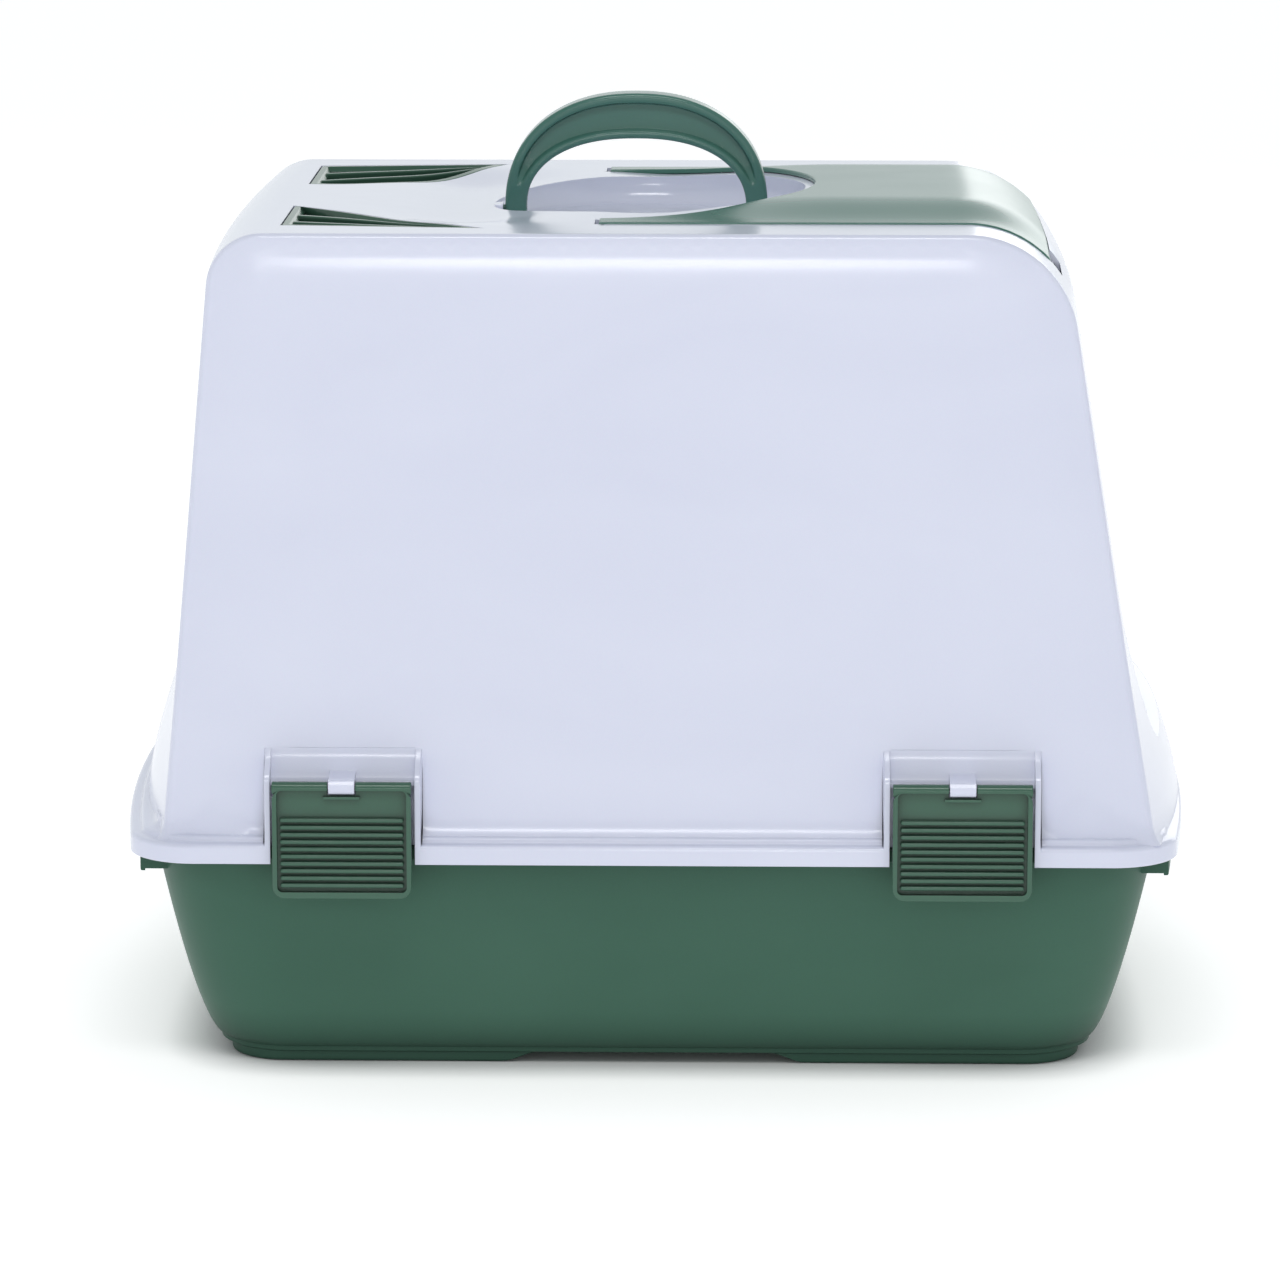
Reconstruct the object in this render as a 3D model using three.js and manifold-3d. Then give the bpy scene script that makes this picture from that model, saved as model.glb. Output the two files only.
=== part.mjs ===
// A hooded cat litter box: litter tray, clip-on hood, hinged top flap, folding carry handle,
// swing door, four hinged clips and two carbon filter vents.
// Millimetres, +Z up. +X is the entrance end, X = Y = 0 is the middle and Z = 0 is the floor.

import * as THREE from 'three';
import { mergeVertices } from 'three/addons/utils/BufferGeometryUtils.js';
import Module from 'manifold-3d';

const wasm = await Module();
wasm.setup();

// ---- driving dimensions ----

const rimHalfLength = 258;      // hood flange, at its corners
const rimBow = 15;              // how far the flange's ends bulge past the corners
const rimHalfWidth = 196;
const rimCorner = 30;
const skirtBottom = 114.5;
const skirtTop = 123.3;
const plateUnderside = 122.3;
const skirtWall = 2.5;

const hoodTop = 425.5;          // at the long side edges
const hoodWall = 2.5;
const sideTop = 167;            // half width at the top
const sideFoot = 184.5;         // half width at the flange
const wallFootZ = 130;
const rearCorner = 27.5;
const rearCornerX = -192.5;
const rearSlope = THREE.MathUtils.degToRad(4.9);
const frontCorner = 55;
const frontCornerX = 154;
const frontSlope = THREE.MathUtils.degToRad(9.15);
const endBow = 5.5;             // bulge of the end walls
const footBow = 23;             // bulge of the end walls where they meet the flange
const edgeRound = 3.2;

const trayRimTop = 121.9;
const trayRimInset = 4.5;       // from the hood flange's outline
const trayLip = 2.2;
const lipBottom = 116;
const gripBottom = 100;
const gripHalfWidth = 150;
const trayWall = 2.6;
const trayFloor = 9;
const footHeight = 8;
const footRecess = 5.5;
const footBand = 8;

const flapHalfWidth = 124;
const flapFront = 197;
const flapRear = -28;
const flapAxisX = -26;
const flapAxisZ = 423.7;
const flapCutout = 107;         // radius of the cutout round the handle, centred on the hinge line
const flapProud = 0.8;
const flapUnder = -1.6;
const rabbet = -2;
const ledgeUnder = -4.3;
const fitGap = 0.6;

const dishX = -5;
const dishRadius = 81;
const dishFloor = 412;
const dishWall = 2.5;

const handleX = -12.4;
const handleHalfLength = 68.8;
const handlePivotZ = 419;
const handleHeight = 60;
const gripHoleHalfLength = 57.6;
const gripHoleHeight = 36.6;
const handleDepth = 18;
const handleStub = 2.2;

const doorHalfWidth = 101.5;    // the door hangs straight down from its pins
const doorBottom = 175;
const doorPivotZ = 350;
const doorPinX = 210.55;
const doorThickness = 3;
const doorwayHalfWidth = 104;
const doorwayBottom = 172;
const doorwayTop = 358;

const clipX = 153.5;
const clipWidth = 69;
const clipBottom = 98.5;
const clipAxisY = 198.2;
const clipAxisZ = 154;
const clipBarrel = 3.3;
const bayHalfWidth = 37.1;
const bayCheek = 2;

// ---- materials ----

const plastic = (color, roughness) => new THREE.MeshStandardMaterial({ color, roughness, metalness: 0 });
const white = () => plastic(0xe4e4f0, 0.18);
const green = () => plastic(0x42644f, 0.3);
const smoked = () => plastic(0x6f8478, 0.12);
const charcoal = () => plastic(0x1d1f20, 0.95);

// ---- solids ----

const { clamp, lerp, smoothstep } = THREE.MathUtils;

function solid(geometry) {
  const bare = geometry.clone();
  bare.deleteAttribute('normal');
  bare.deleteAttribute('uv');
  const merged = mergeVertices(bare, 1e-4);
  const vertProperties = new Float32Array(merged.attributes.position.array);
  const triVerts = new Uint32Array(merged.index.array);
  return new wasm.Manifold(new wasm.Mesh({ numProp: 3, vertProperties, triVerts }));
}

function surface(body) {
  const mesh = body.getMesh();
  const geometry = new THREE.BufferGeometry();
  geometry.setAttribute('position', new THREE.BufferAttribute(new Float32Array(mesh.vertProperties), 3));
  geometry.setIndex(new THREE.BufferAttribute(new Uint32Array(mesh.triVerts), 1));
  geometry.computeVertexNormals();
  return geometry;
}

const join = (...bodies) => bodies.reduce((a, b) => a.add(b));
const cut = (body, ...tools) => tools.reduce((a, b) => a.subtract(b), body);

// A box between two corners, given in any order.
function box(x0, x1, y0, y1, z0, z1) {
  const geometry = new THREE.BoxGeometry(Math.abs(x1 - x0), Math.abs(y1 - y0), Math.abs(z1 - z0));
  return solid(geometry.translate((x0 + x1) / 2, (y0 + y1) / 2, (z0 + z1) / 2));
}

function rod(radius, length, axis, x, y, z, sides = 12) {
  const geometry = new THREE.CylinderGeometry(radius, radius, length, sides);
  if (axis === 'x') geometry.rotateZ(Math.PI / 2);
  if (axis === 'z') geometry.rotateX(Math.PI / 2);
  return solid(geometry.translate(x, y, z));
}

// Closed solid through a stack of rings with equal counts, closed by a fan at each end.
function stack(rings) {
  const count = rings[0].length;
  const middle = (ring) => ring.reduce((sum, p) => sum.add(p), new THREE.Vector3()).divideScalar(count);
  const points = [...rings.flat(), middle(rings[0]), middle(rings.at(-1))];
  const last = (rings.length - 1) * count;
  const index = [];
  for (let i = 0; i < count; i++) {
    const next = (i + 1) % count;
    for (let k = 0; k < last; k += count) {
      index.push(k + i, k + next, k + next + count, k + i, k + next + count, k + i + count);
    }
    index.push(next, i, points.length - 2, last + i, last + next, points.length - 1);
  }
  let volume = 0;
  for (let i = 0; i < index.length; i += 3) {
    const [a, b, c] = [points[index[i]], points[index[i + 1]], points[index[i + 2]]];
    volume += a.dot(new THREE.Vector3().crossVectors(b, c));
  }
  const geometry = new THREE.BufferGeometry().setFromPoints(points);
  geometry.setIndex(volume > 0 ? index : index.reverse());
  return solid(geometry);
}

// A plan outline raised from z0 to z1.
function prism(points, z0, z1) {
  const shape = new THREE.Shape(points);
  const geometry = new THREE.ExtrudeGeometry(shape, { depth: z1 - z0, bevelEnabled: false });
  return solid(geometry.translate(0, 0, z0));
}

// A plan outline raised right through the hood's top.
const through = (points) => prism(points, 380, 450);

// An outline in (y, z) swept along X from x0 to x1.
function alongX(points, x0, x1) {
  const shape = new THREE.Shape(points);
  const geometry = new THREE.ExtrudeGeometry(shape, { depth: x1 - x0, bevelEnabled: false });
  geometry.applyMatrix4(new THREE.Matrix4().set(0, 0, 1, x0, 1, 0, 0, 0, 0, 1, 0, 0, 0, 0, 0, 1));
  return solid(geometry);
}

// An outline in (x, z) swept along Y from y0 to y1.
function alongY(points, y0, y1) {
  const shape = new THREE.Shape(points.map((p) => new THREE.Vector2(p.x, -p.y)));
  const geometry = new THREE.ExtrudeGeometry(shape, { depth: y1 - y0, bevelEnabled: false });
  geometry.applyMatrix4(new THREE.Matrix4().set(1, 0, 0, 0, 0, 0, 1, y0, 0, -1, 0, 0, 0, 0, 0, 1));
  return solid(geometry);
}

const outline = (pairs) => pairs.map(([a, b]) => new THREE.Vector2(a, b));

function roundedOutline(halfWidth, low, high, radius) {
  const shape = new THREE.Shape();
  shape.moveTo(-halfWidth + radius, low);
  shape.lineTo(halfWidth - radius, low);
  shape.absarc(halfWidth - radius, low + radius, radius, -Math.PI / 2, 0);
  shape.absarc(halfWidth - radius, high - radius, radius, 0, Math.PI / 2);
  shape.absarc(-halfWidth + radius, high - radius, radius, Math.PI / 2, Math.PI);
  shape.absarc(-halfWidth + radius, low + radius, radius, Math.PI, Math.PI * 1.5);
  return shape.getPoints(3);
}

// ---- bowed rounded rectangle, the plan of the flange and the tray ----

function bowedRing({ z, halfLength, halfWidth, corner, bow }) {
  const cornerSteps = 5;
  const endSteps = 6;
  const ys = [];
  for (let i = 0; i <= cornerSteps; i++) {
    ys.push(-(halfWidth - corner) - corner * Math.cos((i / cornerSteps) * Math.PI / 2));
  }
  const flat = halfWidth - corner;
  for (let i = 1; i < endSteps; i++) ys.push(lerp(-flat, flat, i / endSteps));
  for (let i = cornerSteps; i >= 0; i--) ys.push(-ys[i]);
  const end = ys.map((y) => {
    const past = Math.max(Math.abs(y) - flat, 0);
    const set = corner - Math.sqrt(Math.max(corner * corner - past * past, 0));
    return [halfLength - set + bow * (1 - (y / halfWidth) ** 2), y];
  });
  const right = end.map(([x, y]) => new THREE.Vector3(x, y, z));
  const left = end.map(([x, y]) => new THREE.Vector3(-x, -y, z));
  return [...right, ...left];
}

const bowedSolid = (levels) => stack(levels.map(bowedRing));

const rimLevel = (z, inset) => ({
  z,
  halfLength: rimHalfLength - inset,
  halfWidth: rimHalfWidth - inset,
  corner: rimCorner - inset,
  bow: rimBow,
});

// ---- the hood's skin ----

const crown = (x) => 7 * smoothstep(x, -60, 95) - 5.5 * Math.exp(-(((x + 98) / 32) ** 2));
const halfWidthAt = (z) => lerp(sideTop, sideFoot, (hoodTop - z) / (hoodTop - wallFootZ));
const wallHeights = [128, 152, 178, 206, 238, 305];
const wallBow = (z) => endBow + (footBow - endBow) * (1 - smoothstep(z, 125, 230));

// Side profile from the rear foot, over the top, to the front foot. `side` is -1 on the rear wall,
// 0 on top and 1 on the front wall, and runs smoothly between them round the corners.
function profile(bottom) {
  const stations = [];
  const heights = [bottom, ...wallHeights.filter((z) => z > bottom + 10)];
  const rearEnd = rearCornerX - rearCorner * Math.cos(rearSlope);
  const rearEndZ = hoodTop - rearCorner + rearCorner * Math.sin(rearSlope);
  for (const z of heights) {
    stations.push({ x: rearEnd - (rearEndZ - z) * Math.tan(rearSlope), z, side: -1 });
  }
  const sweep = (centre, radius, slope, t, sign) => {
    const angle = t * (Math.PI / 2 - slope);
    const x = centre + sign * radius * Math.sin(angle);
    stations.push({ x, z: hoodTop - radius + radius * Math.cos(angle), side: sign * t });
  };
  for (let i = 4; i > 0; i--) sweep(rearCornerX, rearCorner, rearSlope, i / 4, -1);
  const topSteps = 12;
  for (let i = 0; i <= topSteps; i++) {
    stations.push({ x: lerp(rearCornerX, frontCornerX, i / topSteps), z: hoodTop, side: 0 });
  }
  for (let i = 1; i <= 6; i++) sweep(frontCornerX, frontCorner, frontSlope, i / 6, 1);
  const frontEnd = frontCornerX + frontCorner * Math.cos(frontSlope);
  const frontEndZ = hoodTop - frontCorner + frontCorner * Math.sin(frontSlope);
  for (const z of heights.reverse()) {
    stations.push({ x: frontEnd + (frontEndZ - z) * Math.tan(frontSlope), z, side: 1 });
  }
  return stations;
}

// Solid filled out to the hood's skin, moved outward by `offset`.
function filledHood(offset, bottom, halfWidthInset = -offset) {
  const stations = profile(bottom);
  const edge = [[0, edgeRound], [0.28 * edgeRound, 0.28 * edgeRound], [edgeRound, 0]];
  const inner = [0.86, 0.72, 0.58, 0.42];
  const rows = [];
  for (const [fromEdge, inset] of edge) rows.push({ share: 1, fromEdge: halfWidthInset + fromEdge, inset });
  for (const share of [...inner, 0]) rows.push({ share, fromEdge: 0, inset: 0 });
  const ring = ({ share, fromEdge, inset }, hand) => stations.map(({ x, z, side }) => {
    const full = halfWidthAt(z);
    const y = hand * (full * share - fromEdge);
    const across = 1 - clamp((y / full) ** 2, 0, 1);
    const topBulge = crown(x) * (1 - smoothstep(Math.abs(y), 70, 128));
    const bulge = lerp(topBulge, wallBow(z) * across, Math.abs(side));
    const out = bulge + offset - inset;
    const angle = side * Math.PI / 2;
    return new THREE.Vector3(x + out * Math.sin(angle), y, z + out * Math.cos(angle));
  });
  const near = rows.map((row) => ring(row, -1));
  const far = rows.slice(0, -1).reverse().map((row) => ring(row, 1));
  return stack([...near, ...far]);
}

const below = 60;
const skin = filledHood(0, wallFootZ - 6);
const band = (high, low) => filledHood(high, below, 0).subtract(filledHood(low, below - 5, -20));

// ---- plan outlines on the hood's top ----

const rectangle = (x0, x1, half) => outline([[x0, -half], [x1, -half], [x1, half], [x0, half]]);
const flapPlan = (grow) => rectangle(flapRear - grow, flapFront + grow, flapHalfWidth + grow);

function circle(x, y, radius, steps) {
  const points = [];
  for (let i = 0; i < steps; i++) {
    const angle = (i / steps) * Math.PI * 2;
    points.push(new THREE.Vector2(x + radius * Math.cos(angle), y + radius * Math.sin(angle)));
  }
  return points;
}

const hatchRear = 55;
const hatchFront = 186;
const hatchHalfWidth = 114;

// Leaf-shaped vent outline on one side (sign -1 near, 1 far), grown by `grow`.
function leafPlan(sign, grow) {
  const rear = -186 - grow;
  const tip = new THREE.Vector2(-84 + 2.2 * grow, 142 + grow);
  const innerStart = new THREE.Vector2(rear, 46 - grow);
  const bend = new THREE.Vector2(-143 + grow * 0.6, 52 - grow);
  const inner = new THREE.QuadraticBezierCurve(innerStart, bend, tip).getPoints(6);
  const outer = new THREE.Vector2(rear, 132 + grow);
  const points = [...inner, outer].map((p) => new THREE.Vector2(p.x, sign * p.y));
  return sign > 0 ? points : points.reverse();
}

// A curved slat from the rear edge of the leaf to its tip.
function slatPlan(sign, start, width) {
  const side = (shift) => new THREE.QuadraticBezierCurve(
    new THREE.Vector2(-189, start + shift),
    new THREE.Vector2(-140, lerp(52, 138, (start - 46) / 86) + shift),
    new THREE.Vector2(-88, 139.5 + shift * 0.4),
  ).getPoints(6);
  const points = [...side(-width / 2), ...side(width / 2).reverse()];
  const placed = points.map((p) => new THREE.Vector2(p.x, sign * p.y));
  return sign > 0 ? placed : placed.reverse();
}

// ---- hood shell ----

function dishSolid(radius, floor, top) {
  const drop = 7;
  const profileOf = outline([
    [0, floor], [radius - drop, floor], [radius - 3, floor + 1], [radius - 1.2, floor + 3.5],
    [radius, floor + 9], [radius, top], [0, top],
  ]);
  const geometry = new THREE.LatheGeometry(profileOf, 32);
  geometry.rotateX(Math.PI / 2);
  return solid(geometry.translate(dishX, 0, 0));
}

const sideways = [-1, 1];

// The bay a clip hangs in: cheeks and a coved eave above, open at the front and below.
function bayBlock(x, sign) {
  const reach = rimHalfWidth;
  const points = outline([
    [180, skirtBottom], [reach, skirtBottom], [reach, 158], [192, 160.5],
    [188, 164.5], [185.4, 170], [183, 178], [180, 178],
  ]).map((p) => new THREE.Vector2(sign * p.x, p.y));
  const half = bayHalfWidth + bayCheek;
  return alongX(sign < 0 ? points.reverse() : points, x - half, x + half);
}

function bayCut(x, sign) {
  return box(x - bayHalfWidth, x + bayHalfWidth, sign * 185, sign * 215, 100, clipAxisZ + 4);
}

// The lug that holds a clip's pin, open at the back so that the pin snaps in.
function clipLug(x, sign) {
  const y = sign * clipAxisY;
  const eye = rod(3, 13, 'x', x, y, clipAxisZ);
  const web = box(x - 6.5, x + 6.5, y + sign * 2.9, y - sign * 5, clipAxisZ, clipAxisZ + 5);
  const hole = rod(1.55, 20, 'x', x, y, clipAxisZ);
  const mouth = box(x - 8, x + 8, y, y - sign * 8, clipAxisZ - 1, clipAxisZ + 1);
  return cut(join(eye, web), hole, mouth);
}

function hoodShell() {
  const flange = bowedSolid([
    rimLevel(skirtBottom, 0), rimLevel(skirtTop, 0), rimLevel(124.3, 1.2), rimLevel(124.9, 4.8),
    rimLevel(127, 5.6), rimLevel(127.7, 9.8), rimLevel(131, 12.2),
  ]);
  const underFlange = bowedSolid([rimLevel(100, skirtWall), rimLevel(plateUnderside, skirtWall)]);
  const inside = filledHood(-hoodWall, below, hoodWall);
  let body = cut(join(skin, flange), inside, underFlange);

  // Recessed, upright doorway in the sloping front wall.
  const recess = alongX(roundedOutline(120.5, 157.5, 374, 24), 210.5, 300);
  const recessCut = alongX(roundedOutline(118, 160, 371.5, 22), 213, 300);
  const doorway = alongX(roundedOutline(doorwayHalfWidth, doorwayBottom, doorwayTop, 12), 200, 220);
  body = cut(join(body, recess.intersect(skin)), recessCut, doorway);
  for (const sign of sideways) {
    const boss = box(206.5, 213, sign * doorwayHalfWidth, sign * 111, doorPivotZ - 6, doorPivotZ + 6);
    const socket = rod(2.4, 7, 'y', doorPinX, sign * (doorwayHalfWidth + 1.5), doorPivotZ);
    body = cut(join(body, boss), socket);
  }

  // Seat for the top flap, and the hatch it covers.
  const seat = band(-0.02, ledgeUnder).intersect(through(flapPlan(3)));
  body = join(body, seat);
  for (const sign of sideways) {
    body = join(body, box(-33, -19, sign * 104, sign * 130, 416, 424.9));
  }
  const above = filledHood(40, below, -30).subtract(filledHood(rabbet, below - 5, -40));
  const hatch = through(rectangle(hatchRear, hatchFront, hatchHalfWidth))
    .subtract(through(circle(flapAxisX, 0, flapCutout + 10, 48)));
  body = cut(body, above.intersect(through(flapPlan(fitGap))), hatch);
  for (const sign of sideways) {
    const side = sign * (flapHalfWidth + fitGap);
    const pocket = box(flapRear - fitGap - 1.5, -22, sign * 106, side, 419.4, 440);
    const socket = rod(1.8, 4.6, 'y', flapAxisX, sign * (flapHalfWidth + 2.2), flapAxisZ);
    const notch = box(194, 203, sign * 96, sign * 121, 395, 430);
    body = cut(body, pocket, socket, notch);
  }

  // Round dish under the handle, with a lug outside each of the handle's feet.
  const dish = dishSolid(dishRadius + dishWall, dishFloor - dishWall, 460);
  const bowl = dish.intersect(filledHood(-0.02, below, 0));
  body = join(body, cut(bowl, above.intersect(through(flapPlan(fitGap)))));
  body = cut(body, dishSolid(dishRadius, dishFloor, 470));
  const leftLug = box(-89, -81.9, -6.5, 6.5, dishFloor - 1, 424);
  const rightLug = box(57.1, 63, -6.5, 6.5, dishFloor - 1, 424);
  const stubHole = (x) => rod(handleStub + 0.4, 5, 'x', x, 0, handlePivotZ);
  body = cut(join(body, leftLug, rightLug), stubHole(-84), stubHole(59));

  // Vent openings and clip bays.
  for (const sign of sideways) body = cut(body, through(leafPlan(sign, 0)));
  for (const sign of sideways) {
    for (const x of [-clipX, clipX]) {
      body = cut(join(body, cut(bayBlock(x, sign), inside, underFlange)), bayCut(x, sign));
      body = join(body, clipLug(x, sign));
    }
  }
  return body;
}

// ---- tray ----

function trayLevel(z, inset) {
  const rise = Math.max(z - footHeight, 0) / 104;
  return {
    z,
    halfLength: 220.5 + 27 * rise ** 0.65 - inset,
    halfWidth: 148 + 32 * rise ** 0.65 - inset,
    corner: 36 + 10 * rise - inset,
    bow: 6 + 6 * rise,
  };
}

function litterTray() {
  const foot = (z, inset) => ({
    z,
    halfLength: 215 - inset,
    halfWidth: 146.5 - inset,
    corner: 34 - inset,
    bow: 6,
  });
  const heights = [8, 12, 18, 28, 42, 60, 84, 119.6];
  const shell = bowedSolid([foot(0, 1), foot(1, 0), foot(6.5, 0), ...heights.map((z) => trayLevel(z, 0))]);
  const rim = bowedSolid([rimLevel(trayRimTop - 2.4, trayRimInset), rimLevel(trayRimTop, trayRimInset)]);
  const innerHeights = [trayFloor, trayFloor + 2, trayFloor + 4, 18, 28, 42, 60, 84, 119.6, 126];
  const cove = (z) => 10 * Math.max(0, 1 - (z - trayFloor) / 4) ** 2;
  const cavity = bowedSolid(innerHeights.map((z) => trayLevel(z, trayWall + cove(z))));
  const lipBand = (bottom) => {
    const inset = trayRimInset + trayLip;
    const outer = bowedSolid([rimLevel(bottom, trayRimInset), rimLevel(trayRimTop - 1, trayRimInset)]);
    return outer.subtract(bowedSolid([rimLevel(bottom - 5, inset), rimLevel(130, inset)]));
  };
  let body = join(shell, rim, lipBand(lipBottom));
  for (const sign of sideways) {
    const side = box(sign * 200, sign * 300, -gripHalfWidth, gripHalfWidth, 90, 125);
    const grip = lipBand(gripBottom).intersect(side);
    const gripEnd = (end) => {
      const y = end * gripHalfWidth;
      return box(sign * 240, sign * 258.2, y - end * 2.5, y, gripBottom + 1, 121);
    };
    body = join(body, grip, gripEnd(-1), gripEnd(1));
  }
  const under = bowedSolid([foot(-2, footBand), foot(footRecess, footBand)]);
  const arch = alongY(outline([[-77, -2], [-77, 0], [-60, 5.2], [60, 5.2], [77, 0], [77, -2]]), -170, 170);
  return cut(body, cavity, under, arch.subtract(box(-100, 100, -120, 120, -5, 10)));
}

// ---- moving pieces ----

function topFlap() {
  const cutout = circle(flapAxisX, 0, flapCutout, 48);
  const rear = box(-60, flapAxisX, -flapCutout, flapCutout, 380, 450);
  let body = band(flapProud, flapUnder).intersect(through(flapPlan(0)));
  body = cut(body, through(cutout), rear);
  for (const sign of sideways) {
    const armMiddle = sign * (flapCutout + flapHalfWidth) / 2;
    const knuckle = rod(2.4, flapHalfWidth - flapCutout - 0.4, 'y', flapAxisX, armMiddle, flapAxisZ);
    const pin = rod(1.4, 6, 'y', flapAxisX, sign * (flapHalfWidth + 0.8), flapAxisZ);
    body = join(body, knuckle, pin);
  }
  return body;
}

// Half of a superellipse arch from one foot to the other.
function archCurve(halfLength, height, power, steps) {
  const points = [];
  for (let i = 0; i <= steps; i++) {
    const angle = Math.PI * (i / steps);
    const c = Math.cos(angle);
    const s = Math.sin(angle);
    const x = handleX + halfLength * Math.sign(c) * Math.abs(c) ** (2 / power);
    points.push(new THREE.Vector2(x, handlePivotZ + height * Math.abs(s) ** (2 / power)));
  }
  return points;
}

function carryHandle() {
  const foot = 7;
  const outer = archCurve(handleHalfLength, handleHeight, 2.25, 28);
  const inner = archCurve(gripHoleHalfLength, gripHoleHeight, 2.3, 24).reverse();
  const down = (p) => new THREE.Vector2(p.x, handlePivotZ - foot);
  const face = [down(outer[0]), ...outer, down(outer.at(-1)), down(inner[0]), ...inner, down(inner.at(-1))];
  const arch = alongY(face, -handleDepth / 2, handleDepth / 2);
  const across = [];
  for (let i = 0; i <= 10; i++) {
    const angle = Math.PI + Math.PI * (i / 10);
    across.push(new THREE.Vector2(5.6 * Math.cos(angle), handlePivotZ + 5.6 * Math.sin(angle)));
  }
  const envelope = alongX([...across, ...outline([[9, 445], [9, 490], [-9, 490], [-9, 445]])], -120, 100);
  let body = arch.intersect(envelope);
  const webOuter = archCurve(handleHalfLength - 5, handleHeight - 5, 2.25, 28);
  const webInner = archCurve(gripHoleHalfLength + 4.5, gripHoleHeight + 4.5, 2.3, 24).reverse();
  for (const sign of sideways) {
    const web = alongY([...webOuter, ...webInner], -20, 20);
    body = cut(body, web.intersect(box(-100, 100, sign * 5, sign * 12, 442, 490)));
  }
  const stub = (x) => rod(handleStub, 8, 'x', x, 0, handlePivotZ);
  const left = handleX - handleHalfLength;
  const right = handleX + handleHalfLength;
  return join(body, stub(left), stub(right));
}

function entranceDoor() {
  const top = doorPivotZ + 3.5;
  const back = doorPinX - doorThickness / 2;
  const leaf = alongX(roundedOutline(doorHalfWidth, doorBottom, top, 9), back, back + doorThickness);
  const bar = roundedOutline(30, doorBottom + 8, doorBottom + 13, 2);
  const pull = alongX(bar, back - 3, back + doorThickness + 3);
  const pins = sideways.map((sign) => rod(1.9, 12, 'y', doorPinX, sign * (doorHalfWidth - 1), doorPivotZ));
  return join(leaf, pull, ...pins);
}

// One clip: ribbed plate hung on a split barrel, with a pin across the split and a toe below.
function clip(x, sign) {
  const half = clipWidth / 2;
  const outer = -(clipAxisY + clipBarrel);
  const plan = roundedOutline(half, clipBottom, clipAxisZ + 12, 6);
  const trim = box(-half - 5, half + 5, -220, -180, clipAxisZ, 190);
  const window = box(-half + 2.5, half - 2.5, -220, -180, clipBottom + 3.2, clipAxisZ + 20);
  let body = cut(alongY(plan, outer + 0.8, outer + 3.2), trim);
  const border = cut(alongY(plan, outer, outer + 1), trim, window);
  body = join(body, border, rod(clipBarrel, clipWidth, 'x', 0, -clipAxisY, clipAxisZ));
  const notch = box(-7, 7, -210, -190, clipAxisZ - 3.5, 170);
  body = join(cut(body, notch), rod(1.2, 16, 'x', 0, -clipAxisY, clipAxisZ));
  body = join(body, box(-25, 25, outer + 3, -192, 108.5, 112.5));
  const geometry = surface(body);
  if (sign > 0) geometry.rotateZ(Math.PI);
  return geometry.translate(x, 0, 0);
}

// ---- vents ----

function ventGrille(sign) {
  const insert = band(-0.1, -5).intersect(through(leafPlan(sign, -0.5)));
  const foot = band(-2.9, -5).intersect(through(leafPlan(sign, 3)));
  let body = cut(join(insert, foot), through(leafPlan(sign, -6)));
  const slats = [66, 88, 110].map((start) => through(slatPlan(sign, start, 2.4)));
  const slatBand = band(-1.4, -5).intersect(through(leafPlan(sign, -5)));
  for (const slat of slats) body = join(body, slatBand.intersect(slat));
  return body;
}

const filterPad = (sign) => band(-5.5, -10.5).intersect(through(leafPlan(sign, 1)));

function filterCover(sign) {
  const tub = band(-5.4, -12.4).intersect(through(leafPlan(sign, 3.4)));
  let body = cut(tub, band(-4, -10.9).intersect(through(leafPlan(sign, 1.5))));
  for (const x of [-168, -146, -124]) {
    const window = box(x - 7, x + 7, sign * 20, sign * 180, 380, 450);
    body = cut(body, window.intersect(through(leafPlan(sign, -5))));
  }
  return body;
}

// ---- assembly ----

const group = new THREE.Group();

function add(name, geometry, material) {
  const mesh = new THREE.Mesh(geometry, material);
  mesh.name = name;
  group.add(mesh);
}

add('litter_tray', surface(litterTray()), green());
add('hood_shell', surface(hoodShell()), white());
add('top_flap', surface(topFlap()), green());
add('carry_handle', surface(carryHandle()), green());
add('entrance_door', surface(entranceDoor()), smoked());
for (const [side, sign] of [['near', -1], ['far', 1]]) {
  add(`vent_grille_${side}`, surface(ventGrille(sign)), green());
  add(`filter_pad_${side}`, surface(filterPad(sign)), charcoal());
  add(`filter_cover_${side}`, surface(filterCover(sign)), white());
  add(`clip_${side}_rear`, clip(-clipX, sign), green());
  add(`clip_${side}_front`, clip(clipX, sign), green());
}

export default group;
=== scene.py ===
import math

import bmesh
import bpy
import numpy as np
from mathutils import Matrix, Vector
from mathutils.geometry import delaunay_2d_cdt


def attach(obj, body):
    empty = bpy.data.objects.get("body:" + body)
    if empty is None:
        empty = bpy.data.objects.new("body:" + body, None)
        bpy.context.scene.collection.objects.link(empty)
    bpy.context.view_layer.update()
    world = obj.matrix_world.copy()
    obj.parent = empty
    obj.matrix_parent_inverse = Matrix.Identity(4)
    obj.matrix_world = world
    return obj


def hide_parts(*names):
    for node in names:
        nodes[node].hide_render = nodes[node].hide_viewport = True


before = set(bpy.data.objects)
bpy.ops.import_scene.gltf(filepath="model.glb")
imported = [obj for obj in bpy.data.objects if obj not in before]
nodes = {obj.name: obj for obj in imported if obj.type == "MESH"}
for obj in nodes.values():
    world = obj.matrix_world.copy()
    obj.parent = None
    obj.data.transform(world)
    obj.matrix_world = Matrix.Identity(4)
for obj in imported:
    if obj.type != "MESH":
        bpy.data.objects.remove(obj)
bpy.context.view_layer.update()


# Lengths in this script are millimetres, in the frame of the CAD, until an object is made.
MM = 0.001
PI = math.pi

RIM_HALF_LENGTH = 258.0
RIM_BOW = 15.0
RIM_HALF_WIDTH = 196.0
RIM_CORNER = 30.0
SKIRT_BOTTOM = 114.5
SKIRT_WALL = 2.5
PLATE_UNDERSIDE = 122.3

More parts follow.
